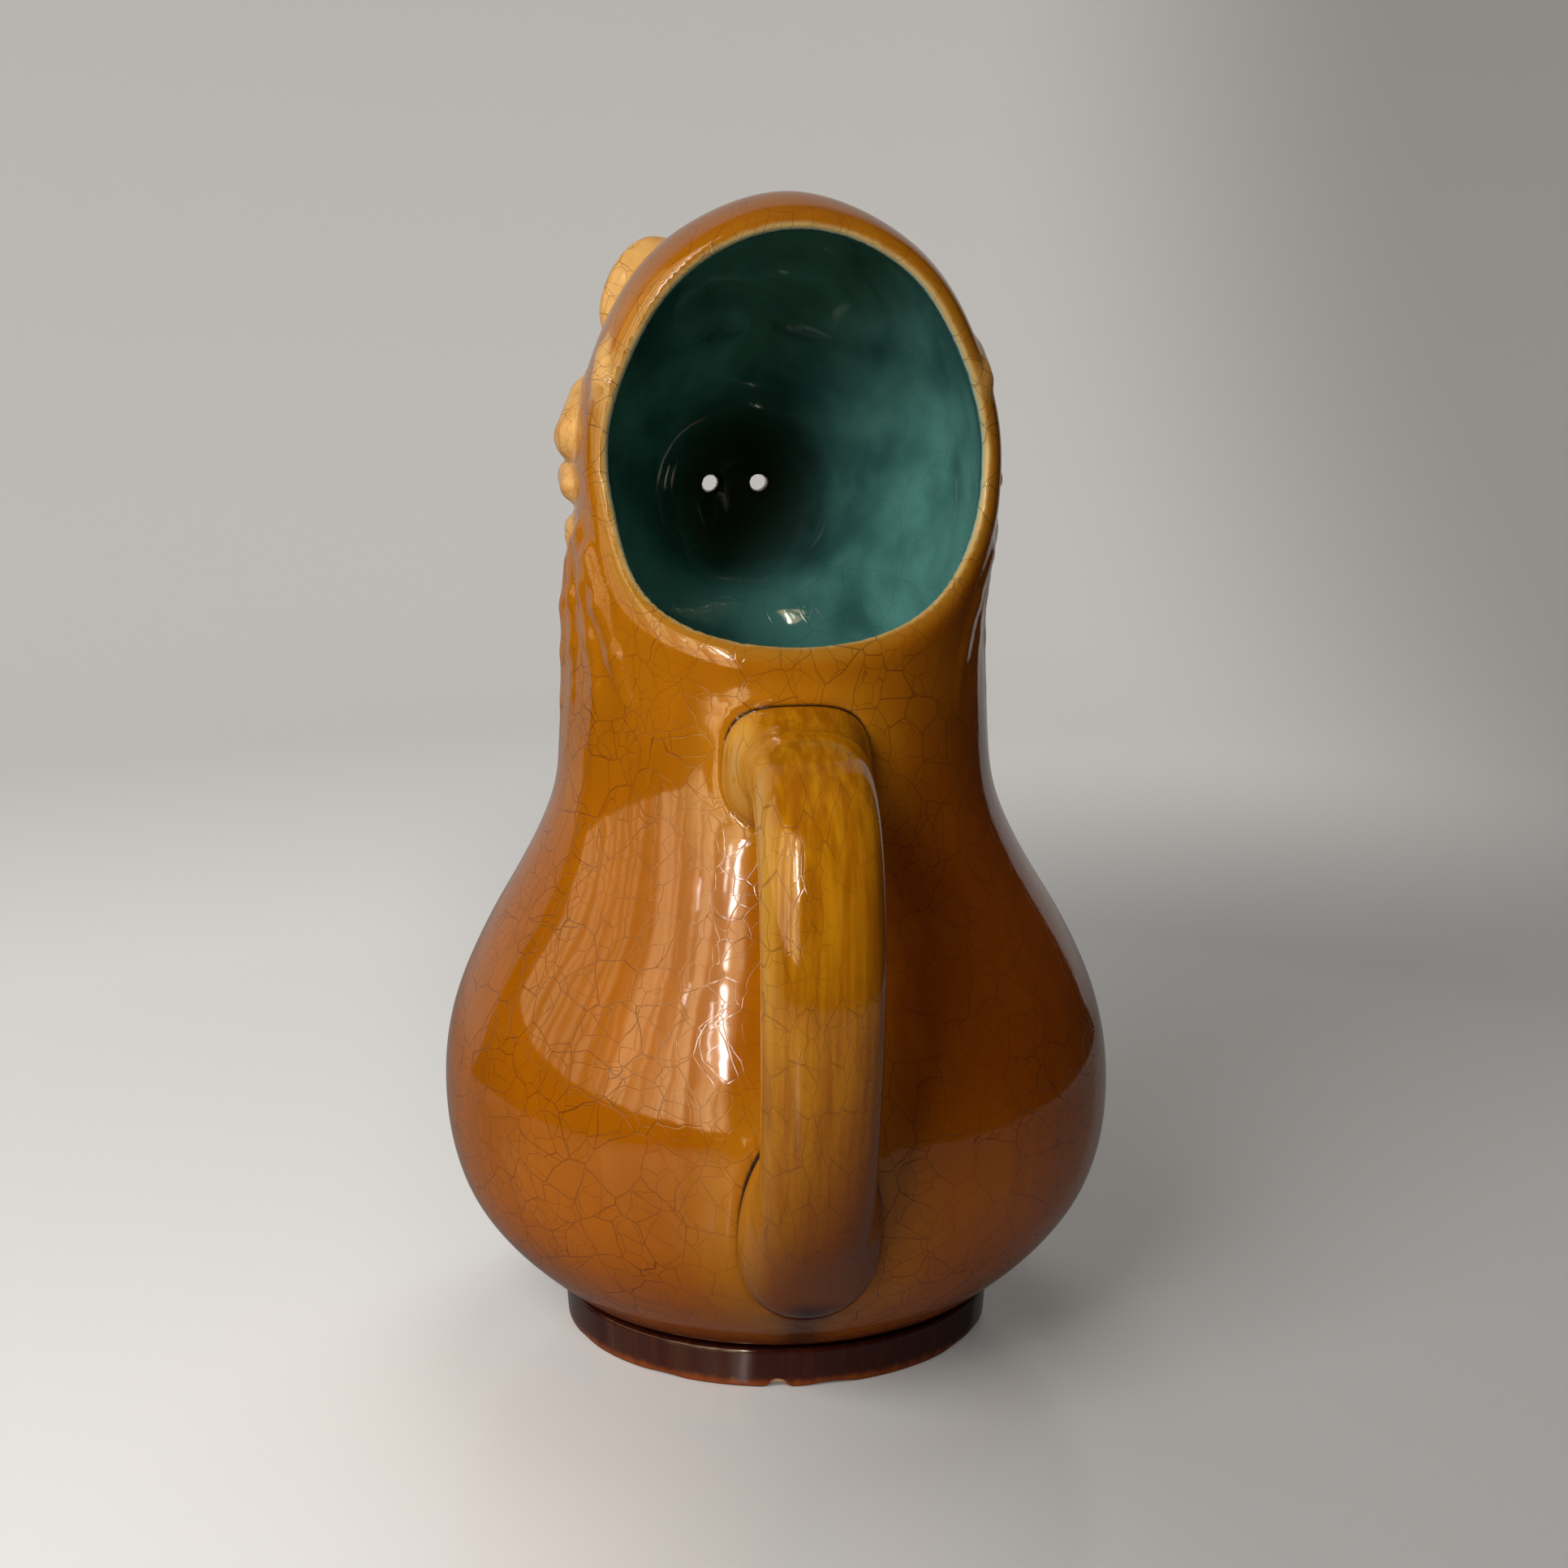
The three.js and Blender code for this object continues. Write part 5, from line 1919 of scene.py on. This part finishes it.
@dataclass
class Eyes:
    """The two glazed eyes that look out between the lids. Millimetres."""

    face: Face
    back: float = 3.0
    squash: float = 0.06
    segments: int = 64
    rings: int = 40

    def tree(self, inputs: dict[str, object]) -> Tree:
        """The tree that sets one eye at either place, with those inputs."""
        graph, given, result = new_group("set_eyes", inputs, *GEOMETRY_TREE)
        get = given.outputs
        inputs = {key: get[key] for key in ("Segments", "Rings", "Radius")}
        ball = graph.add("GeometryNodeMeshUVSphere", inputs)
        y = graph.split(graph.add("GeometryNodeInputPosition").outputs[0])[1]
        gaze = stored(graph, ball.outputs["Mesh"], "gaze", graph.over(y, get["Radius"]))
        behind = graph.math("MINIMUM", graph.minus(y, get["Back"]), 0.0)
        keep = graph.minus(1.0, get["Squash"])
        push = graph.joined(0.0, graph.times(graph.times(behind, keep), -1.0))
        eye = graph.add("GeometryNodeSetPosition", {"Geometry": gaze, "Offset": push})
        inputs = {"Count": 2, "Start Location": get["Left Place"], "Offset": get["Right Place"]}
        pair = graph.add("GeometryNodeMeshLine", inputs, mode="END_POINTS")
        inputs = {"Points": pair.outputs[0], "Instance": eye.outputs[0]}
        both = graph.add("GeometryNodeInstanceOnPoints", inputs)
        finish_tree(graph, both.outputs[0], get["Glaze"], result)
        return graph.tree

    def build(self, material: Material) -> None:
        """Makes the eyes with their glaze."""
        left, right = (tuple(float(v) * MM for v in eye) for eye in self.face.eyes)
        inputs = {
            "Radius": self.face.eye_radius * MM,
            "Back": self.back * MM,
            "Squash": self.squash,
            "Left Place": left,
            "Right Place": right,
            "Segments": self.segments,
            "Rings": self.rings,
            "Glaze": material,
        }
        piece = finished_by(self.tree(inputs), "glazed_eyes", inputs)
        settle(piece, "eye_glaze", ("eye_left", "eye_right"), material)


# The studio


@dataclass(frozen=True)
class Lamp:
    """One soft light of the studio, which the gloss doesn't see. Metres, degrees, watts.

    Turn 0 is in front of the jug's handle, and 90 is on its left.
    """

    name: str
    turn: float
    height: float
    distance: float
    size: float
    power: float

    def build(self, aim: Vector) -> None:
        """Sets the lamp up, turned to the aim."""
        data = bpy.data.lights.new(self.name, "AREA")
        data.shape = "SQUARE"
        data.size = self.size
        data.energy = self.power
        lamp = placed(self.name, data)
        turn, out = math.radians(self.turn), self.distance
        lamp.location = (-math.sin(turn) * out, -math.cos(turn) * out, self.height)
        lamp.rotation_euler = (aim - lamp.location).to_track_quat("-Z", "Y").to_euler()
        lamp.visible_camera = False
        lamp.visible_glossy = False


def glow_card(
    name: str,
    rows: Sequence[Array],
    colour: Value,
    strength: Value,
    graph: Graph,
    material: Material,
) -> None:
    """Makes a card that only the gloss sees.

    Args:
        name: Its name.
        rows: Rows of corners, as many in each.
        colour: Colour of its light.
        strength: Strength of its light.
        graph: The graph of its material.
        material: Its material.
    """
    points = np.concatenate(rows)
    n = len(rows[0])
    faces = [
        (k * n + i, k * n + i + 1, (k + 1) * n + i + 1, (k + 1) * n + i)
        for k in range(len(rows) - 1)
        for i in range(n - 1)
    ]
    mesh = bpy.data.meshes.new(name)
    mesh.from_pydata([tuple(point) for point in points], [], faces)
    glowing = graph.add("ShaderNodeEmission", {"Strength": strength})
    graph.feed(glowing.inputs["Color"], (*colour, 1) if isinstance(colour, tuple) else colour)
    output = graph.add("ShaderNodeOutputMaterial")
    graph.feed(output.inputs["Surface"], glowing.outputs[0])
    mesh.materials.append(material)
    card = placed(name, mesh)
    card.visible_camera = False
    card.visible_diffuse = False
    card.visible_shadow = False
    card.visible_transmission = False


def empty_material(name: str) -> tuple[Material, Graph]:
    """A material with an empty tree, and its graph."""
    material = bpy.data.materials.new(name)
    material.use_nodes = True
    return material, Graph(material.node_tree)


def ring_row(turns: Array, radius: float, height: float | Array) -> Array:
    """Points round the jug at turns in radians, where turn 0 is in front of the handle."""
    heights = np.broadcast_to(height, turns.shape)
    return np.stack([-radius * np.sin(turns), -radius * np.cos(turns), heights], axis=1)


@dataclass(frozen=True)
class Window:
    """The tall curtained window on the jug's left, which only the gloss sees. Metres and degrees."""

    radius: float = 0.82
    turns: Pair = (21.5, 113.0)
    sill: Pair = (0.003, 0.25)
    top: float = 1.12
    colour: Colour = (1.0, 0.73, 0.39)
    strength: float = 6.9
    daylight: Colour = (1.0, 0.95, 0.88)
    # Turn at the floor, degrees a metre, half width, strength, bottom and top of each sliver
    # of open daylight
    slivers: tuple = (
        (20.0, 11.0, 1.5, 42.0, 0.32, 0.79),
        (20.0, 11.0, 1.2, 40.0, 0.845, 0.92),
        (26.0, 9.0, 0.5, 28.0, 0.42, 0.7),
        (44.0, 0.0, 0.45, 26.0, 0.6, 0.75),
    )
    sliver_soft: float = 0.03

    def build(self) -> None:
        """Makes the window."""
        material, graph = empty_material("window")
        at = graph.add("ShaderNodeTexCoord").outputs["Object"]
        x, y, z = graph.split(at)
        back, side = graph.times(y, -1.0), graph.times(x, -1.0)
        turn = graph.times(graph.math("ARCTAN2", side, back), 180 / math.pi)
        ragged = graph.swing(graph.noise(at, 0.05, 3.0), 3.0)
        edge = graph.plus(turn, ragged)
        lumps = graph.noise(at, 0.13, 2.0)
        turn = graph.plus(turn, graph.swing(lumps, 5.0))
        folds = graph.joined(turn, graph.times(z, 1.6))
        curtain = graph.ramp(graph.noise(folds, 3.4, 3.0), 0.38, 0.62, 0.18, 1.0)
        level = graph.times(curtain, graph.ramp(turn, 78.0, 46.0, 0.36, 1.0))
        strength = graph.times(level, self.strength)
        white = 0.0
        for start, lean, half, power, low, high in self.slivers:
            middle = graph.plus(graph.times(z, lean), start)
            off = graph.math("ABSOLUTE", graph.minus(edge, middle))
            soft = self.sliver_soft
            tall = graph.times(graph.ramp(z, low, low + soft), graph.ramp(z, high, high - soft))
            lit = graph.times(graph.ramp(off, half, 0.6 * half), tall)
            white = graph.most(white, lit)
            strength = graph.most(strength, graph.times(lit, power))
        colour = graph.blend(white, self.colour, self.daylight)
        turns = np.radians(np.linspace(*self.turns, 60))
        sills = np.linspace(*self.sill, len(turns))
        rows = [ring_row(turns, self.radius, sills), ring_row(turns, self.radius, self.top)]
        glow_card("window", rows, colour, strength, graph, material)


@dataclass
class Studio:
    """Pale sweep, soft lights, dark room for the gloss and the photograph's camera. Metres."""

    lens: float = 63.35
    camera_at: Place = (-0.0788, -0.5968, 0.253)
    camera_turn: Place = (77.8, 0.0, -7.7)
    radius: float = 1.15
    bend: float = 0.45
    wall: float = 1.7
    aim: Place = (0.0, 0.0, 0.12)
    pale: Colour = (0.80, 0.79, 0.76)
    dim: Colour = (0.27, 0.22, 0.17)
    dark: Colour = (0.012, 0.01, 0.008)
    glow: float = 0.24
    # Brightness of the sweep to the camera, by place across and along: painted shade darker to the
    # right, which on the floor stands in for the jug's shadow
    floor_shade_band: Band = (-0.11, 0.09, 1.03, 0.57)
    wall_shade_band: Band = (0.26, 0.52, 1.0, 0.66)
    wall_from: Band = (0.25, 0.65)
    # Brightness to the gloss, with painted shade near the jug, and the sweep's own gloss, by the way
    # out
    gloss_seen_shade_band: Band = (0.15, 0.95, 0.28, 0.78)
    gloss_band: Band = (0.2, 0.35, 0.5, 0.0)
    world: tuple[Colour, float] = ((0.75, 0.72, 0.68), 0.06)
    lamps: tuple[Lamp, ...] = (
        Lamp("key", 40, 0.7, 0.9, 0.6, 9.8),
        Lamp("fill", 195, 0.95, 0.45, 0.5, 2.2),
    )
    # Radius and height of each row of the dark card
    room_rows: tuple = (
        (0.38, 0.002), (0.70, 0.006), (0.80, 0.018), (0.88, 0.045),
        (0.95, 0.085), (0.95, 0.9), (0.6, 1.25),
    )  # fmt: skip
    room_turns: Pair = (-131.0, 124.0)

    def camera(self) -> None:
        """The camera at the photograph's place."""
        data = bpy.data.cameras.new("camera")
        data.lens = self.lens
        data.sensor_width = 36
        camera = placed("camera", data)
        camera.location = self.camera_at
        camera.rotation_euler = Euler([math.radians(a) for a in self.camera_turn])
        bpy.context.scene.camera = camera

    def sweep_material(self) -> Material:
        """The sweep's paint: pale, darker away from the window as painted shade and the jug's painted
        shadow, darker near the jug to the gloss as painted shade, and dim to the jug's clay.
        """
        material, graph, shader = new_material("sweep", 0.16)
        at = graph.add("ShaderNodeTexCoord").outputs["Object"]
        x, y, _ = graph.split(at)
        # Painted shade and the jug's painted shadow, darker to the right, as the camera sees the sweep
        floor = graph.ramp(x, *self.floor_shade_band)
        wall = graph.ramp(x, *self.wall_shade_band)
        far = graph.ramp(graph.math("ABSOLUTE", y), *self.wall_from)
        painted_shade = graph.add("ShaderNodeMix", {0: far, 2: floor, 3: wall}, data_type="FLOAT").outputs[0]
        path = graph.add("ShaderNodeLightPath").outputs
        bounced = graph.most(path["Is Glossy Ray"], path["Is Transmission Ray"])
        radius = graph.vector("LENGTH", graph.vector("MULTIPLY", at, (1, 1, 0)))
        # Painted shade: to the gloss the sweep is darker near the jug
        soft = graph.times(bounced, graph.ramp(radius, *self.gloss_seen_shade_band))
        graph.feed(shader.inputs["Specular IOR Level"], graph.ramp(radius, *self.gloss_band))
        level = graph.plus(graph.times(path["Is Camera Ray"], painted_shade), soft)
        shade = graph.math("MINIMUM", level, 1.2)
        shades = graph.grey(shade)
        seen = graph.most(path["Is Camera Ray"], bounced)
        pale = graph.vector("MULTIPLY", self.pale, shades)
        graph.feed(shader.inputs["Base Color"], graph.blend(seen, self.dim, pale))
        # The glow follows the painted shade too
        glow = graph.times(graph.times(level, level), self.glow)
        graph.feed(shader.inputs["Emission Strength"], graph.times(seen, glow))
        shader.inputs["Emission Color"].default_value = (*self.pale, 1)
        return material

    def sweep(self) -> None:
        """A round floor that curves up into a wall on all sides."""
        rows = [(0.0, 0.0), (self.radius - self.bend, 0.0)]
        for step in range(1, 13):
            turn = math.pi / 2 * step / 12
            out = self.radius - self.bend * (1 - math.sin(turn))
            rows.append((out, self.bend * (1 - math.cos(turn))))
        rows.append((self.radius, self.wall))
        bm = bmesh.new()
        verts = [bm.verts.new((r, 0, z)) for r, z in rows]
        edges = [bm.edges.new(pair) for pair in zip(verts, verts[1:])]
        whole = {"cent": (0, 0, 0), "axis": (0, 0, 1), "angle": 2 * math.pi, "steps": 96}
        bmesh.ops.spin(bm, geom=verts + edges, **whole)
        bmesh.ops.remove_doubles(bm, verts=bm.verts, dist=1e-5)
        bmesh.ops.recalc_face_normals(bm, faces=bm.faces)
        mesh = bpy.data.meshes.new("sweep")
        bm.to_mesh(mesh)
        bm.free()
        mesh.shade_smooth()
        sweep = placed("sweep", mesh)
        mesh.materials.append(self.sweep_material())

    def dark_room(self) -> None:
        """The dark side of the room and its table in front of the sweep, seen in the gloss."""
        material, graph = empty_material("room")
        turns = np.radians(np.linspace(*self.room_turns, 60))
        rows = [ring_row(turns, radius, height) for radius, height in self.room_rows]
        glow_card("room", rows, self.dark, 1.0, graph, material)

    def build(self) -> None:
        """Sets everything up."""
        scene = bpy.context.scene
        scene.view_settings.view_transform = "Standard"
        self.camera()
        self.sweep()
        self.dark_room()
        Window().build()
        world = bpy.data.worlds.new("studio")
        scene.world = world
        world.use_nodes = True
        colour, strength = self.world
        background = world.node_tree.nodes["Background"]
        background.inputs[0].default_value = (*colour, 1)
        background.inputs[1].default_value = strength
        for lamp in self.lamps:
            lamp.build(Vector(self.aim))
            log.info("lamp %s: %.1f W", lamp.name, lamp.power)


def main() -> None:
    """Builds the jug and its studio."""
    pot = Pot()
    face, handle = Face(pot), Handle(pot)
    cracks, height = Crazing().build(), Surface().build()
    colours = JugColours().build()
    materials = {
        slot: JugGlaze().build(slot, colours, cracks, height)
        for slot in ("amber_glaze", "tan_glaze", "rim_glaze", "turquoise_glaze")
    }
    ClaySkin(Jug(pot, face, handle)).build(materials)
    HandleSkin(handle).build(HandleGlaze().build("handle_glaze", height))
    FootRing().build(FootGlaze().build("foot_glaze", height))
    Eyes(face).build(EyeGlaze().build("eye_glaze"))
    Studio().build()


if __name__ == "__main__":
    main()
